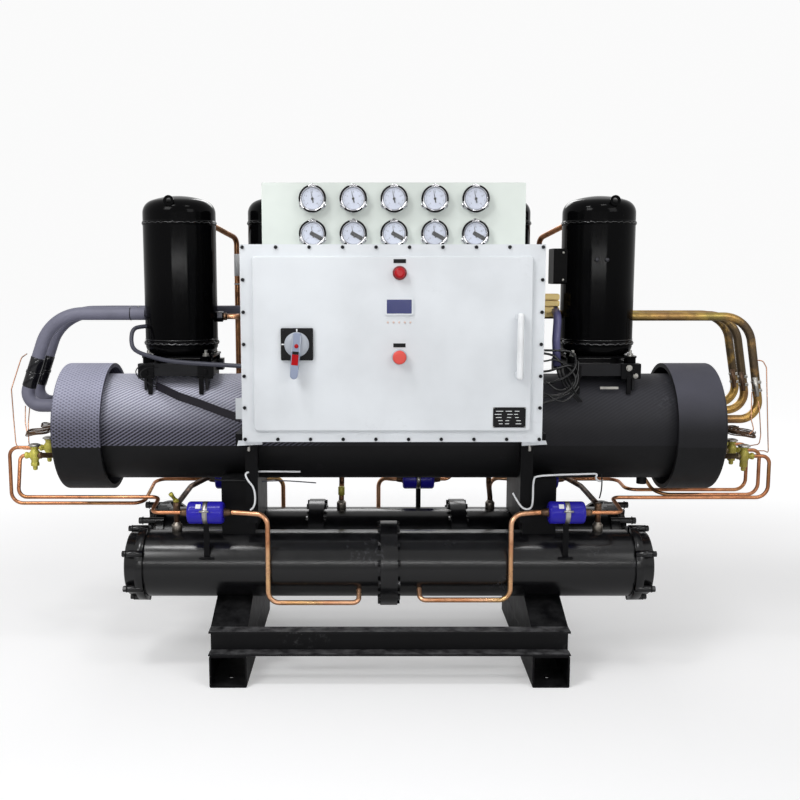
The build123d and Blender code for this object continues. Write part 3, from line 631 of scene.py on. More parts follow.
# The pull handle: a rounded bar on two feet, the bar in a whiter finish that is partly a painted highlight
def cover_handle():
    low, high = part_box("cover_handle")
    centre = middle(low, high)
    width, tall = high.x - low.x, high.z - low.z
    piece = Piece("cover_handle_bar")
    for side in (-1, 1):
        piece.rounded(width - 0.002, 0.022, 0.008, 0.012, facing(centre.x, high.y - 0.0005,
                    centre.z + side * (tall / 2 - 0.014)), "box", 0.002)
    length = tall - 0.004
    # The bar's whiter finish is partly its own pale colour and partly a painted highlight along it.
    piece.lathe([(0, 0), (0.005, 0.0008), (0.0085, 0.004), (0.0095, 0.009), (0.0095, length - 0.009),
                (0.0085, length - 0.004), (0.005, length - 0.0008), (0, length)],
            at((centre.x, low.y + 0.0102, low.z + 0.002)), "white", 28)
    for side in (-1, 1):
        piece.block(width * 0.5, 0.02, high.y - low.y - 0.006, facing(centre.x, high.y - 0.0005,
                    centre.z + side * (tall / 2 - 0.014)), "box", 0.003)
    piece.place("enclosure_paint", "cover_handle")


cover_handle()


# The rating plate has rows of blank white fields.
def rating_lines():
    piece = Piece("rating_plate_lines")
    centre = middle(rating_low, rating_high)
    width = rating_high.x - rating_low.x - 0.008
    height = rating_high.z - rating_low.z - 0.008
    face = rating_low.y

    def bar(x, z, w, h):
        piece.block(w, h, 0.0004, facing(centre.x + x, face, centre.z + z), "white")

    for row in range(5):
        for column in range(3):
            bar(width * (0.3 * column - 0.33 + 0.05 * sin(5 * row + 3 * column)), height * (0.36 - 0.18 * row),
                width * (0.18 + 0.06 * cos(7 * row + column)), 0.0018)
    for sx, sz in CORNERS:
        piece.lathe(mm(1.7, 0, 1.7, 0.8, 1, 1.2, 0, 1.2), facing(centre.x + sx * (width / 2 + 0.0022), face,
                    centre.z + sz * (height / 2 + 0.0022)), "steel", 10)
    piece.place("chrome_trim")


rating_lines()


# The isolator: white marks on its plate, and a domed knob whose lever has a dark slot and a red band
def isolator():
    centre = middle(plate_low, plate_high)
    marks = Piece("isolator_plate_marks")
    face = plate_low.y
    for x, z, w, h in ((0, 0.041, 0.004, 0.008), (-0.041, 0, 0.008, 0.004)):
        marks.block(w, h, 0.0006, facing(centre.x + x, face, centre.z + z), "white")
    for sx, sz in CORNERS:
        marks.lathe(mm(3.4, 0, 3.4, 1.2, 0, 1.6), facing(centre.x + sx * 0.039, face, centre.z + sz * 0.039),
                "black_bolt", 12)
    marks.place("chrome_trim")

    knob = Piece("isolator_knob")
    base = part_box("isolator_handle")[1].y
    knob.lathe(mm(8, 0, 8, 14.8), facing(centre.x, base, centre.z), "black", 20, False)
    face = plate_low.y - 0.005
    knob.lathe(mm(35, 0, 36, 1.2, 36, 5, 35.2, 6.2, 34, 6.8, 32, 12.5, 27, 16.5, 18, 18.5, 0, 19),
            facing(centre.x, face, centre.z), "grey", 48)
    # The lever hangs a little to the left and narrows towards its round end.
    top, end, wide, narrow = 0.034, -0.1, 0.0145, 0.0112
    outline = [(-wide, top - 0.01), (-wide * 0.7, top), (wide * 0.7, top), (wide, top - 0.01), (narrow, end + 0.012)]
    outline += [(narrow * cos(radians(a)), end + 0.011 + narrow * sin(radians(a))) for a in (-15, -45, -75, -105,
                -135)]
    outline += [(-narrow, end + 0.008)]
    lean = spin(-5)
    knob.plate(outline[::-1], 0.021, facing(centre.x, face - 0.006, centre.z) @ lean, "lever", 0.003, 2)
    front = facing(centre.x, face - 0.027, centre.z) @ lean
    for x, z, w, h, deep, tint in ((0, -0.023, 0.0185, 0.0085, 0.0008, "black"),
            (0, -0.043, 0.0195, 0.031, 0.001, "red"), (-0.0115, 0.004, 0.003, 0.05, 0.0008, "grey"),
            (0.0115, 0.004, 0.003, 0.05, 0.0008, "grey")):
        knob.block(w, h, deep, front @ shift(x, z, 0), tint, 0.0003)
    knob.lathe(mm(6.2, 0, 6.2, 1, 4.5, 1.8, 0, 1.8), front @ shift(0.001, -0.003, 0), "red", 18)
    knob.place("grey_plastic", "isolator_handle", body=ISOLATOR)


isolator()


# Gauges: turned case, three-lugged bezel with black arcs as painted reflections, white dial with a printed scale,
# needle, pane and screws
GAUGE_LIMITS = ((16, 2), (32, 4))
SCALE_RADIUS = 0.0292


def gauge(cases, faces, panes, x, z, back, top_value, step, reading, tagged):
    depth = 0.022
    place = facing(x, back, z)
    cases.lathe([(0.042, 0), (0.042, 0.004), (0.0375, 0.005), (0.0375, depth - 0.006), (0.0425, depth - 0.005),
                (0.0435, depth - 0.001), (0.0425, depth + 0.002), (0.0395, depth + 0.0035), (0.036, depth + 0.003),
                (0.0335, depth), (0.0325, depth - 0.003), (0, depth - 0.003)], place, "chrome", 48)
    # Painted reflection: three black arcs on the chrome bezel stand for the dark surroundings that it mirrors.
    for i in range(3):
        arc = [radians(90 + 120 * i + 17 + 86 * k / 12) for k in range(13)]
        cases.tube([place @ Vector((0.0396 * cos(a), 0.0396 * sin(a), depth + 0.0024)) for a in arc], 0.0028,
                "deep_black", 8)
    for i in range(3):
        angle = radians(90 + 120 * i)
        lug = facing(x + 0.038 * cos(angle), back, z + 0.038 * sin(angle))
        cases.lathe(mm(9.2, 0, 9.6, 1, 9.6, 4, 8.8, 5, 0, 5), lug, "chrome", 18)
        screw = lug @ shift(0.0035 * cos(angle), 0.0035 * sin(angle), 0.0048)
        cases.lathe(mm(3.4, 0, 3.4, 1.2, 2.2, 2.2, 0, 2.2), screw, "black_bolt", 12)
    dial = facing(x, back - depth + 0.0028, z)
    faces.lathe(mm(32.2, 0, 32.2, 0.4, 0, 0.4), dial, "dial", 36, False)
    ink = dial @ shift(0, 0, 0.0006)
    sweep, start = 270, 225
    marks = top_value // step * 5
    for i in range(marks + 1):
        long_mark = i % 5 == 0
        angle = start - sweep * i / marks
        length = 0.0045 if long_mark else 0.0025
        spot = ink @ spin(angle) @ shift(SCALE_RADIUS - length / 2, 0, 0)
        faces.block(length, 0.0008 if long_mark else 0.0004, 0.0002, spot, "black")
        if long_mark and i % 10 == 0:
            away = SCALE_RADIUS - 0.0088
            spot = ink @ shift(away * cos(radians(angle)), away * sin(radians(angle)), 0.0002)
            faces.number(str(i // 5 * step), 0.0058, spot, "black")
    turned = ink @ spin(start - sweep * reading) @ shift(0, 0, 0.001)
    faces.plate([(-0.013, -0.0018), (-0.004, -0.0016), (0.004, -0.001), (0.0255, -0.0003), (0.0255, 0.0003),
                (0.004, 0.001), (-0.004, 0.0016), (-0.013, 0.0018)], 0.0004, turned, "black")
    faces.lathe(mm(4.2, 0.8, 4.2, 2.2, 0, 2.6), ink, "black", 16)
    if tagged:
        slanted = ink @ spin(-28) @ shift(0.012, -0.001, 0.0014)
        faces.rounded(0.040, 0.0125, 0.003, 0.0006, slanted, "tag")
    panes.lathe(mm(32.4, 0, 32.4, 0.8, 0, 0.8), dial @ shift(0, 0, 0.0042), "pane", 36, False)


def gauges():
    cases, faces, panes = Piece("gauge_cases"), Piece("gauge_dials"), Piece("gauge_panes")
    pitch, centre = 0.127, 0.013
    readings = (0.46, 0.45, 0.455, 0.46, 0.455)
    for row, z in enumerate((1.537, 1.430)):
        top_value, step = GAUGE_LIMITS[row]
        for i in range(5):
            gauge(cases, faces, panes, centre + (i - 2) * pitch, z, board_face, top_value, step, readings[i],
                  row == 1)
    cases.place("chrome_trim", "pressure_gauges")
    faces.place("chrome_trim")
    panes.place("display_glass")


gauges()


# Condensers: bolts of the joint flanges, cast caps of the front water boxes, bolts and rims of the rear ones
CONDENSER_Z = 0.349
CAP_RADIUS = 0.122
CAP_FLANGE = 0.026
CAP_BODY = 0.104
CAP_DEPTH = 0.058
LUG_CIRCLE = CAP_RADIUS - 0.0055
FRONT_Y, REAR_Y = -0.163, 0.163


def condenser_details():
    piece = Piece("condenser_flange_bolts")
    for y, x in ((FRONT_Y, 0.0), (REAR_Y, -0.254), (REAR_Y, 0.254)):
        for i in range(12):
            angle = radians(15 + 30 * i)
            dy, dz = 0.1255 * cos(angle), 0.1255 * sin(angle)
            for side in (-1, 1):
                piece.bolt(at((x + side * 0.0275, y + dy, CONDENSER_Z + dz), (side, 0, 0), 12 * i), 0.0105, "shell")
    piece.place("shell_paint")

    caps = Piece("water_box_bolts")
    for side, name in ((-1, "left"), (1, "right")):
        low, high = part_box("water_box_front_" + name)
        tip = high.x if side > 0 else low.x
        face = low.x if side > 0 else high.x
        cap = Piece("water_box_casting_" + name)
        spot = at((face, FRONT_Y, CONDENSER_Z), (side, 0, 0))
        dome = [(CAP_BODY * cos(radians(a)), CAP_DEPTH + 0.015 * sin(radians(a))) for a in range(15, 105, 15)]
        cap.lathe([(CAP_RADIUS - 0.001, 0), (CAP_RADIUS, 0.001), (CAP_RADIUS, CAP_FLANGE - 0.001),
                   (CAP_RADIUS - 0.001, CAP_FLANGE), (CAP_BODY + 0.003, CAP_FLANGE), (CAP_BODY, CAP_FLANGE + 0.003),
                   (CAP_BODY, CAP_DEPTH), *dome], spot, "shell", 64)
        for i in range(6):
            angle = radians(30 + 60 * i)
            y, z = FRONT_Y + LUG_CIRCLE * cos(angle), CONDENSER_Z + LUG_CIRCLE * sin(angle)
            cap.lathe(mm(11.8, 0, 11.2, 50, 10.4, 54), at((face, y, z), (side, 0, 0)), "shell", 20)
            cap.bolt(at((face + side * 0.054, y, z), (side, 0, 0), 20 * i), 0.0105, "shell", 0.011)
            rib = spot @ spin(60 * i + 60) @ shift(0, CAP_BODY * 0.64, 0)
            cap.block(0.012, CAP_BODY * 0.6, 0.055, rib, "shell", 0.002)
        cap.place("shell_paint", "water_box_front_" + name)
        for i in range(6):
            angle = radians(45 + 60 * i)
            dy, dz = -0.1165 * sin(angle), 0.1165 * cos(angle)
            place = at((tip - side * 0.014, REAR_Y + dy, CONDENSER_Z + dz), (side, 0, 0), 20 * i)
            caps.bolt(place, 0.0125, "shell", 0.012)
        rim = at((tip - side * 0.063, REAR_Y, CONDENSER_Z), (side, 0, 0))
        caps.lathe(mm(122.5, 0, 124, 1, 124, 4, 122.5, 5), rim, "shell", 64)
        rim = at((tip - side * 0.05, REAR_Y, CONDENSER_Z), (side, 0, 0))
        caps.lathe(mm(103.5, 0, 108, 1.5, 108, 6, 103.5, 8), rim, "shell", 64)
    caps.place("shell_paint")


condenser_details()


# Driers: a blank label, the strap's clamp and foot, and the solder cones of both ends
DRIER_Z = 0.544
DRIER_LENGTH = 0.117
DRIER_PLACES = ((-0.648, -0.262), (0.511, -0.262), (-0.638, 0.262), (0.060, 0.262), (0.521, 0.262))


def drier_details():
    bands = Piece("drier_bands")
    cones = Piece("drier_cones")
    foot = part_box("drier_brackets")[0].z
    for x, y in DRIER_PLACES:
        middle_x = x + DRIER_LENGTH / 2
        outward = -1 if y < 0 else 1
        front = y + outward * 0.0375
        bands.lathe(mm(34.5, -8.2, 36.2, -8, 36.2, 8, 34.5, 8.2), at((middle_x, y, DRIER_Z), (1, 0, 0)), "steel", 40)
        bands.block(0.013, 0.024, 0.005, at((middle_x, front, DRIER_Z + 0.004), (0, outward, 0)), "steel", 0.001)
        bands.block(0.018, 0.005, DRIER_Z - 0.0345 - foot, at((middle_x, y, foot)), "frame", 0.0006)
        bands.block(0.046, 0.03, 0.004, at((middle_x, y, foot)), "frame", 0.001)
        bands.tube([(middle_x - 0.015, front + outward * 0.005, DRIER_Z + 0.013),
                    (middle_x + 0.015, front + outward * 0.005, DRIER_Z + 0.013)], 0.0036, "steel", 8)
        bands.block(0.016, 0.016, 0.0008, at((middle_x - 0.021, y + outward * 0.0252, DRIER_Z + 0.0252),
                    (0, outward, 1)), "white", 0.0002)
        for side, start in ((-1, x), (1, x + DRIER_LENGTH)):
            cones.lathe(mm(16.5, 0, 12.5, 4, 11.2, 16, 9.2, 24), at((start - side * 0.0005, y, DRIER_Z),
                        (side, 0, 0)), "dark_copper", 20)
    bands.place("chrome_trim", "drier_brackets")
    cones.place("copper")


drier_details()


# Compressors: foot bolts, weld rings, the connectors beside the last one, and screws of its terminal box
COMPRESSORS = [0.002 + (i - 2) * 0.352 for i in range(5)]
SHELL_RADIUS = 0.121
LOWER_WELD = 1.0745
UPPER_WELD = 1.4725
TERMINAL_HEIGHT = 1.33


def compressor_details():
    feet = Piece("compressor_foot_bolts")
    rings = Piece("compressor_weld_rings")
    for x in COMPRESSORS:
        for sx, sy in CORNERS:
            feet.nut(at((x + sx * 0.095, sy * 0.095, 1.035), (0, 0, 1), 25), 0.0105, "steel", 0.01)
        for height, swell in ((LOWER_WELD, 0.0026), (UPPER_WELD, 0.002)):
            path = []
            for i in range(120):
                a = 2 * pi * i / 120
                wave = 0.0016 * sin(31 * a + x * 9) + 0.0011 * sin(47 * a)
                path.append((x + (SHELL_RADIUS + swell) * cos(a), (SHELL_RADIUS + swell) * sin(a), height + wave))
            rings.tube(path + path[:1], 0.0026 if height == LOWER_WELD else 0.0014, "weld", 8)
        for dz in (-0.004, 0.012):
            rings.ring(SHELL_RADIUS + 0.0006, 0.0014, at((x, 0, LOWER_WELD + dz)), "weld", 64, 6)
    feet.place("chrome_trim")
    rings.place("compressor_paint")

    plugs = Piece("wiring_connectors")
    for i in range(3):
        plugs.block(0.052, 0.018, 0.03, facing(0.546, -0.02, 1.228 - 0.0215 * i), "gold", 0.003)
    plugs.block(0.05, 0.078, 0.02, facing(0.546, -0.012, 1.2), "gold", 0.002)
    plugs.tube(bent([(0.56, -0.035, 1.185), (0.557, -0.1, 1.165), (0.55, -0.118, 1.09), (0.556, -0.112, 1.004)],
                0.04), 0.0135, "sleeve", 14)
    plugs.place("black_plastic")

    box = Piece("terminal_box_screws")
    for sz in (-1, 1):
        box.lathe(mm(4, 0, 4, 2, 2.6, 3, 0, 3), facing(COMPRESSORS[4] - 0.125, -0.048, TERMINAL_HEIGHT + sz * 0.045),
                "steel", 10)
    for dx in (0.0, 0.04):
        box.lathe(mm(7.5, 0, 7.5, 6, 5.5, 9, 0, 9), facing(COMPRESSORS[4] - 0.029 + dx * 0.82, -SHELL_RADIUS + 0.0035,
                    1.35), "nut_black", 16)
    box.place("black_plastic")


compressor_details()


# Steelwork under the compressors: bolted pads and straps of the front rail, and the right end bracket
def stand_details():
    piece = Piece("stand_details")
    for x in COMPRESSORS:
        for sx in (-1, 1):
            piece.block(0.052, 0.044, 0.006, facing(x + sx * 0.098, -0.125, 0.985), "frame", 0.001)
            piece.bolt(facing(x + sx * 0.098, -0.131, 0.985), 0.0085, "frame")
            piece.block(0.014, 0.062, 0.012, facing(x + sx * 0.084, -0.124, 0.942), "frame", 0.001)
    piece.place("frame_paint")

    right = Piece("stand_bracket_right")
    right.block(0.062, 0.05, 0.005, facing(0.796, -0.128, 0.986), "frame", 0.001)
    right.bolt(facing(0.79, -0.133, 0.998), 0.009, "steel")
    right.nut(facing(0.812, -0.133, 0.972), 0.0075, "steel", 0.01)
    right.block(0.06, 0.008, 0.004, facing(0.727, -0.128, 0.932), "steel", 0.0005)
    right.place("frame_paint")


stand_details()


# Expansion valves: turned body with a hexagon, power element and side stubs
VALVE_X = 1.187
VALVE_Z = 0.701
LEFT_VALVES = (-0.1, 0.05)
RIGHT_VALVES = (-0.115, 0.0, 0.12)


def valves():
    for side, name, rows in ((-1, "left", LEFT_VALVES), (1, "right", RIGHT_VALVES)):
        piece = Piece("expansion_valve_bodies_" + name)
        for y in rows:
            x = side * VALVE_X
            stem = at((x, y, VALVE_Z - 0.05))
            piece.lathe(mm(0, 0, 6, 0, 8, 4, 8, 12, 11.5, 14, 12.5, 18, 12.5, 34, 15.5, 38, 16.5, 45, 16.5, 62, 12,
                        68, 11.5, 76, 15, 77, 15, 81), stem, "brass", 24)
            piece.bolt(at((x, y, VALVE_Z - 0.036), (0, 0, 1), 12), 0.0145, "brass", 0.012, False)
            head = at((x, y, VALVE_Z + 0.03))
            piece.lathe(mm(9, 0, 20.5, 2, 21, 4, 20.5, 6, 14, 9.5, 6, 11, 0, 11), head, "steel", 32)
            piece.lathe(mm(9.5, 0, 9.5, 12, 11.5, 13, 11.5, 20, 8.5, 22), at((x + side * 0.011, y, VALVE_Z),
                        (side, 0, 0)), "brass", 18)
            piece.lathe(mm(11.5, 0, 11.5, 11, 9, 12, 9, 73), at((x - side * 0.012, y, VALVE_Z), (-side, 0, 0)),
                    "dark_copper", 18)
        piece.place("valve_brass", "expansion_valves_" + name)


valves()


# Thin pipes from the suction pipes to the valves, with their spare length wound in loops; routes in millimetres
# Each coil has its centre, half width, turns and tilt.
COILS = ((-1.192, -0.04, 0.772, 0.04, 3, 0.12), (1.208, -0.02, 0.767, 0.048, 4, -0.16),
         (-1.172, 0.03, 0.782, 0.03, 2, -0.1), (1.19, 0.06, 0.764, 0.04, 3, 0.1))


def capillaries():
    left = (
        ((-1233, 0, 1034), (-1242, -30, 1024), (-1270, -60, 920), (-1267, -60, 822), (-1256, -80, 736),
         (-1239, -100, 724), (-1212, -100, 721), (-1190, -100, 722)),
        ((-1253, 20, 852), (-1249, 0, 800), (-1238, -20, 764), (-1215, -30, 760)),
        ((-1245, 40, 849), (-1239, 0, 792), (-1226, -40, 729), (-1199, -80, 726), (-1190, -98, 737)),
    )
    right = (
        ((1248, 0, 1012), (1262, -12, 1013), (1273, -20, 1011), (1278, -40, 991), (1277, -60, 894), (1281, -60, 840),
         (1289, -60, 725), (1283, -80, 705), (1262, -100, 716), (1210, -115, 720)),
        ((1262, 0, 934), (1270, -20, 835), (1278, -20, 757), (1266, -40, 728), (1221, -60, 726), (1190, -100, 736)),
        ((1248, 0, 903), (1242, -20, 812), (1246, -40, 777), (1222, -60, 766)),
    )
    for side, routes in (("left", left), ("right", right)):
        piece = Piece("capillary_tubes_" + side)
        for route in routes:
            path = bent([Vector(point) / 1000 for point in route], 0.02)
            piece.tube(path, 0.0019, "capillary", 8)
        piece.place("copper")

    coils = Piece("capillary_coils")
    for cx, cy, cz, half, turns, tilt in COILS:
        path = []
        for i in range(turns * 30 + 1):
            a = 2 * pi * i / 30
            swell = 1 + 0.05 * sin(2.3 * a)
            dx, dy = half * cos(a) * swell, half * 0.8 * sin(a) * swell
            rise = tilt * dx + 0.12 * dy + 0.0045 * (i / 30 - turns / 2) + 0.002 * sin(3 * a)
            path.append((cx + dx, cy + dy, cz + rise))
        coils.tube(path, 0.0021, "dark_copper", 8)
    coils.place("copper")


capillaries()


# Suction pipes: sensor clamps and bulbs on the right, taped joints and cable ties on the left
SUCTION_HEIGHT = 1.171


def suction_details():
    piece = Piece("suction_clamps")
    for x, y, z in ((1.2434, 0.165, 0.937), (1.2461, 0.085, 0.935), (1.2615, 0.0, 0.925)):
        lean = (0.157, 0, -0.987)
        for away in (-0.014, 0.014):
            spot = Vector((x, y, z)) + Vector(lean) * away
            piece.lathe(mm(15.2, -4, 16.2, -3, 16.2, 3, 15.2, 4), at(spot, lean), "steel", 28)
            piece.block(0.012, 0.009, 0.01, at(spot + Vector((0.004, -0.015, 0)), (0, -1, 0)), "steel", 0.001)
        start = Vector((x - 0.012, y - 0.017, z + 0.03))
        piece.tube([start, start + Vector(lean) * 0.066], 0.0075, "dark_copper" if y else "steel", 14)
    piece.place("chrome_trim")

    tape = Piece("suction_tape")
    lean = Vector((-0.33, 0, -0.944)).normalized()
    for y in (0.0, 0.11):
        top = Vector((-1.143, y, SUCTION_HEIGHT))
        for down, length, swell in ((0.183, 0.05, 0.0012), (0.213, 0.012, 0.003), (0.24, 0.05, 0.0015)):
            spot = top + lean * down
            half = length / 2
            tape.lathe([(0.0221, -half), (0.0222 + swell, -half + 0.002), (0.0222 + swell, half - 0.002),
                        (0.0221, half)], at(spot, lean), "tape", 36)
        tape.lathe(mm(23.2, -1.2, 23.6, 0, 23.2, 1.2), at((-0.874, y, SUCTION_HEIGHT), (1, 0, 0)), "tape", 36)
    tape.place("pipe_insulation")


suction_details()


# Discharge pipes: a blank label and a tie, solder rings and a service valve; the oil equaliser; service nuts
LABEL_PIPE = (-0.539, 0.212)


def discharge_details():
    piece = Piece("discharge_labels")
    piece.lathe(mm(9.7, 0, 10.1, 0.4, 10.1, 77.6, 9.7, 78), at((*LABEL_PIPE, 1.297)), "white", 24)
    piece.lathe(mm(9.7, 0, 11.2, 0.4, 11.2, 4.6, 9.7, 5), at((*LABEL_PIPE, 1.266)), "white", 24)
    piece.place("chrome_trim")

    rings = Piece("inlet_solder")
    for x, y in ((-0.703, FRONT_Y), (0.694, FRONT_Y), (-0.5, 0.225), (-0.166, REAR_Y), (0.375, REAR_Y)):
        base = CONDENSER_Z + (0.1 if y > 0.2 else 0.1275)
        rings.lathe(mm(16.8, -30, 17.2, 0, 16.8, 3, 13.5, 5, 11.5, 9, 9.8, 12), at((x, y, base)), "solder", 28)
    for x, y, z, tint in ((-0.703, FRONT_Y, 0.522, "dark_copper"), (0.694, FRONT_Y, 0.52, "dark_copper"),
            (-0.166, REAR_Y, 0.505, "brass")):
        rings.lathe(mm(9.8, 0, 11.8, 2, 11.8, 30, 9.8, 32), at((x, y, z)), tint, 24)
    valve = at((-0.703, -0.155, 0.553), (-0.45, -0.35, 0.8))
    rings.bolt(valve, 0.009, "brass", 0.012, False)
    rings.lathe(mm(6, 12, 6, 30, 7.5, 31, 7.5, 40, 0, 41), valve, "brass", 14)
    rings.place("copper")

    low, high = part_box("oil_equaliser")
    height = middle(low, high).z
    line = Piece("oil_equaliser_tube")
    line.lathe([(0.009, 0.01), (0.009, high.x - low.x - 0.01)], at((low.x, 0, height), (1, 0, 0)), "copper_pipe", 20)
    for x, side in ((low.x + 0.0003, 1), (high.x - 0.0003, -1)):
        line.bolt(at((x, 0, height), (side, 0, 0), 10), 0.0192, "nut_black", 0.0195, False)
        line.lathe(mm(12.5, 19, 12.5, 31, 9.2, 34), at((x, 0, height), (side, 0, 0)), "dark_copper", 24)
    line.place("copper", "oil_equaliser")

    nut = Piece("service_nuts")
    for x, angle in ((COMPRESSORS[0], 45), (COMPRESSORS[4], 135)):
        spot = (x + SHELL_RADIUS * cos(radians(angle)), SHELL_RADIUS * sin(radians(angle)), 1.474)
        nut.lathe(mm(16.5, -8, 16.5, 4, 12.5, 6, 10.5, 12), at(spot, (cos(radians(angle)), sin(radians(angle)), 0)),
                "compressor", 24)
    nut.place("compressor_paint")


discharge_details()


# Electric cables, each held where it starts and ends: name, diameter, finish and route, in millimetres
CABLES = (
    ("white_cable_left", 6.5, "white", ((-290, -185, 662), (-414, -188, 664), (-467, -236, 672), (-458, -238, 645),
                (-436, -238, 621), (-432, -238, 577), (-440, -236, 551), (-450, -230, 545))),
    ("white_cable_right", 6.5, "white", ((700, -185, 634), (689, -200, 630), (670, -210, 646), (680, -210, 661),
                (637, -210, 659), (556, -215, 658), (477, -238, 659), (464, -240, 650), (465, -240, 574),
                (460, -238, 551), (440, -236, 547), (420, -232, 564), (402, -220, 599))),
    ("black_wire_right", 4.5, "rubber", ((695, -195, 655), (699, -200, 611), (694, -178, 572))),
    ("thin_wire_left", 4, "cable", ((-415, -196, 632), (-356, -200, 636), (-291, -200, 632), (-238, -196, 627))),
    ("black_wire_left", 5, "rubber", ((-600, -150, 640), (-560, -196, 634), (-526, -200, 637), (-461, -196, 634))),
    ("wire_loop_left_1", 3.5, "rubber", ((-765, -126, 1015), (-806, -150, 1014), (-828, -170, 993), (-812, -175, 968),
                (-778, -165, 950), (-752, -130, 941))),
    ("wire_loop_left_2", 3, "rubber", ((-758, -126, 1000), (-790, -150, 1004), (-815, -165, 985), (-800, -170, 962),
                (-764, -160, 937), (-745, -135, 930))),
)

# The wires that arch out at the right of the enclosure: diameter and route, in millimetres
WIRE_ARCS = (
    (8, ((440, -150, 944), (512, -150, 944), (560, -170, 964), (599, -165, 987), (614, -150, 1020),
        (604, -130, 1052), (558, -125, 1056), (440, -125, 1056))),
    (8, ((440, -160, 987), (510, -160, 987), (550, -160, 1000), (590, -150, 1010), (618, -140, 1000),
        (620, -150, 955), (594, -170, 921), (540, -180, 900), (500, -180, 885), (440, -180, 885))),
    (8, ((440, -170, 910), (505, -170, 910), (548, -180, 911), (590, -175, 930), (612, -160, 960), (600, -150, 990),
        (560, -140, 1020), (530, -135, 1050), (440, -135, 1050))),
    (6, ((440, -165, 968), (505, -165, 968), (540, -170, 930), (580, -170, 928), (622, -150, 978),
        (620, -140, 1020))),
    (6, ((440, -150, 1020), (506, -150, 1020), (540, -150, 1030), (575, -145, 1012), (600, -140, 1006))),
    (6, ((440, -175, 930), (500, -175, 930), (550, -185, 890), (590, -180, 900), (620, -160, 940))),
)


def wiring():
    for name, diameter, finish, route in CABLES:
        cable(name, route, diameter, finish)
    for i in range(3):
        side = 12 * i
        route = ((555 + side, -122, 1000), (551 + side, -140, 985), (568 + side, -165 - 4 * i, 950),
                (592 + 7.2 * i, -175, 918), (620 + 6 * i, -160, 890))
        cable(f"wire_bundle_right_{i + 1}", route, 6, "rubber")
    hose = ((-803, -45, 1131), (-822, -54.5, 1131), (-851, -80, 1125), (-853, -100, 1085), (-840, -120, 1055),
            (-780, -155, 1038), (-702, -190, 1024), (-560, -222, 1018), (-423, -250, 1013))
    cable("conduit_hose", hose, 14, "cable", "pipe_insulation", "conduit_left")
    for i, (diameter, route) in enumerate(WIRE_ARCS):
        cable(f"wire_arc_right_{i + 1}", route, diameter, "wire")
    strap = Piece("lifting_strap")
    route = ((-0.765, -0.124, 0.955), (-0.762, -0.14, 0.94), (-0.728, -0.168, 0.93), (-0.68, -0.19, 0.911),
            (-0.613, -0.2, 0.89), (-0.541, -0.214, 0.865), (-0.477, -0.229, 0.845))
    for before, after in zip(route, route[1:]):
        start, end = Vector(before), Vector(after)
        across = (end - start).normalized()
        tall = Vector((0, 0, 1)) - across * across.z
        tall.normalize()
        turn = Matrix((across, tall, across.cross(tall))).transposed().to_4x4()
        strap.block((end - start).length + 0.004, 0.026, 0.003, Matrix.Translation((start + end) / 2) @ turn,
                "strap_web")
    strap.place("black_plastic")


wiring()


# Under the enclosure: two bent fixing plates with their pegs, and a plate at its left side
def enclosure_details():
    piece = Piece("enclosure_lugs")
    floor = cover_low.z
    for x, lean in ((-0.42, -1), (0.428, 1)):
        outline = [(-0.036, 0.001), (0.036, 0.001), (0.036 + (0.004 if lean > 0 else 0), -0.011),
                (-0.036 - (0.004 if lean < 0 else 0), -0.015)]
        piece.plate(outline[::-1], 0.003, facing(x, -0.452, floor), "box", 0.0004)
        piece.lathe(mm(4.5, 0, 4.5, 26, 3, 28, 0, 28), at((x - 0.008, -0.43, floor - 0.008), (0, 0, -1)), "steel", 12)
    piece.place("enclosure_paint")
    clip = Piece("enclosure_side_plate")
    clip.block(0.046, 0.065, 0.004, facing(-0.453, -0.35, 0.8935), "box", 0.0008)
    clip.place("enclosure_paint")


enclosure_details()


# Base: the weld beads on the skid
BEAM_X = 0.5125


def base_details():
    piece = Piece("skid_weld_beads")
    for side, edge in CORNERS:
        x = side * BEAM_X + edge * 0.0605
        piece.tube([(x, -0.369, 0.1065), (x, -0.33, 0.1065)], 0.0022, "frame", 6)
    piece.place("frame_paint")


base_details()


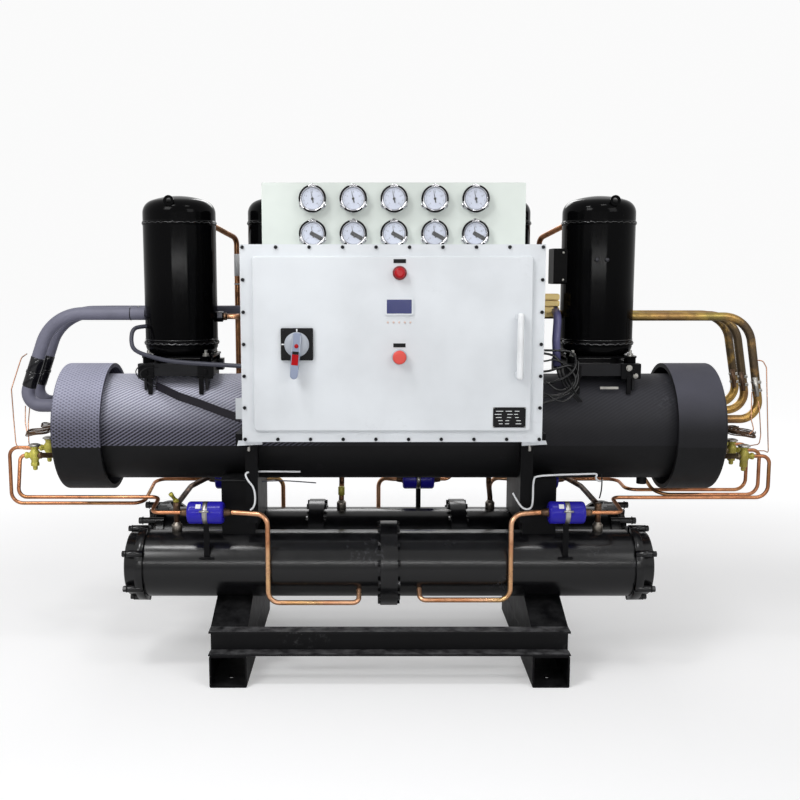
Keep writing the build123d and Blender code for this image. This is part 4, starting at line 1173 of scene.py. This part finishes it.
# Floor, world and lamps
def stage_and_light():
    floor = bpy.data.meshes.new("floor")
    size = 40
    floor.from_pydata([(-size, -size, 0), (size, -size, 0), (size, size, 0), (-size, size, 0)], [], [(0, 1, 2, 3)])
    f = Finish("floor_white")
    path = f.new("LightPath").outputs
    seen = f.math("MAXIMUM", path["Is Camera Ray"], path["Is Transmission Ray"])
    away = f.new("VectorMath", {0: f.place}, operation="LENGTH").outputs["Value"]
    glow = f.math("MULTIPLY_ADD", f.ramp(away, 1.3, 4.5), 0.38, 0.3)
    glow = f.math("MAXIMUM", f.times(seen, glow), f.times(path["Is Glossy Ray"], 0.03))
    f.done("e4e4e5", 0.9, Specular_IOR_Level=0.0, Emission_Color="ffffff", Emission_Strength=glow)
    floor.materials.append(f.material)
    ground = add("floor", floor)

    world = bpy.data.worlds.new("world")
    bpy.context.scene.world = world
    world.use_nodes = True
    w = Tree(world.node_tree)
    path = w.new("LightPath").outputs
    seen = w.math("MAXIMUM", path["Is Camera Ray"], path["Is Transmission Ray"])
    strength = w.math("MAXIMUM", w.times(seen, 0.96), w.times(path["Is Glossy Ray"], 0.72))
    background = w.tree.nodes["Background"]
    background.inputs["Color"].default_value = (1, 1, 1, 1)
    w.put(background.inputs["Strength"], w.math("MAXIMUM", strength, 0.36))

    def lamp(name, spot, aim, width, height, power):
        data = bpy.data.lights.new(name, "AREA")
        data.shape = "RECTANGLE"
        data.size = width
        data.size_y = height
        data.energy = power
        holder = add(name, data)
        holder.location = spot
        holder.rotation_euler = (Vector(aim) - Vector(spot)).to_track_quat("-Z", "Y").to_euler()

    lamp("key", (-2.4, -3.2, 3.6), (-0.2, 0, 0.9), 1.4, 1.4, 68)
    lamp("fill", (2.6, -3.2, 2.8), (0, 0, 0.9), 1.6, 1.6, 30)
    lamp("front", (-0.06, -3.7, 1.38), (-0.06, 0, 0.85), 3.4, 0.08, 19)
    lamp("top_left", (-1.3, -1.5, 3.9), (-0.9, 0, 0.9), 0.7, 0.5, 26)
    lamp("top_right", (0.9, -1.6, 4.2), (0.5, 0, 1.0), 0.7, 0.4, 12)
    lamp("back", (0.0, 3.6, 3.2), (0, 0, 0.8), 2.0, 1.2, 35)


stage_and_light()
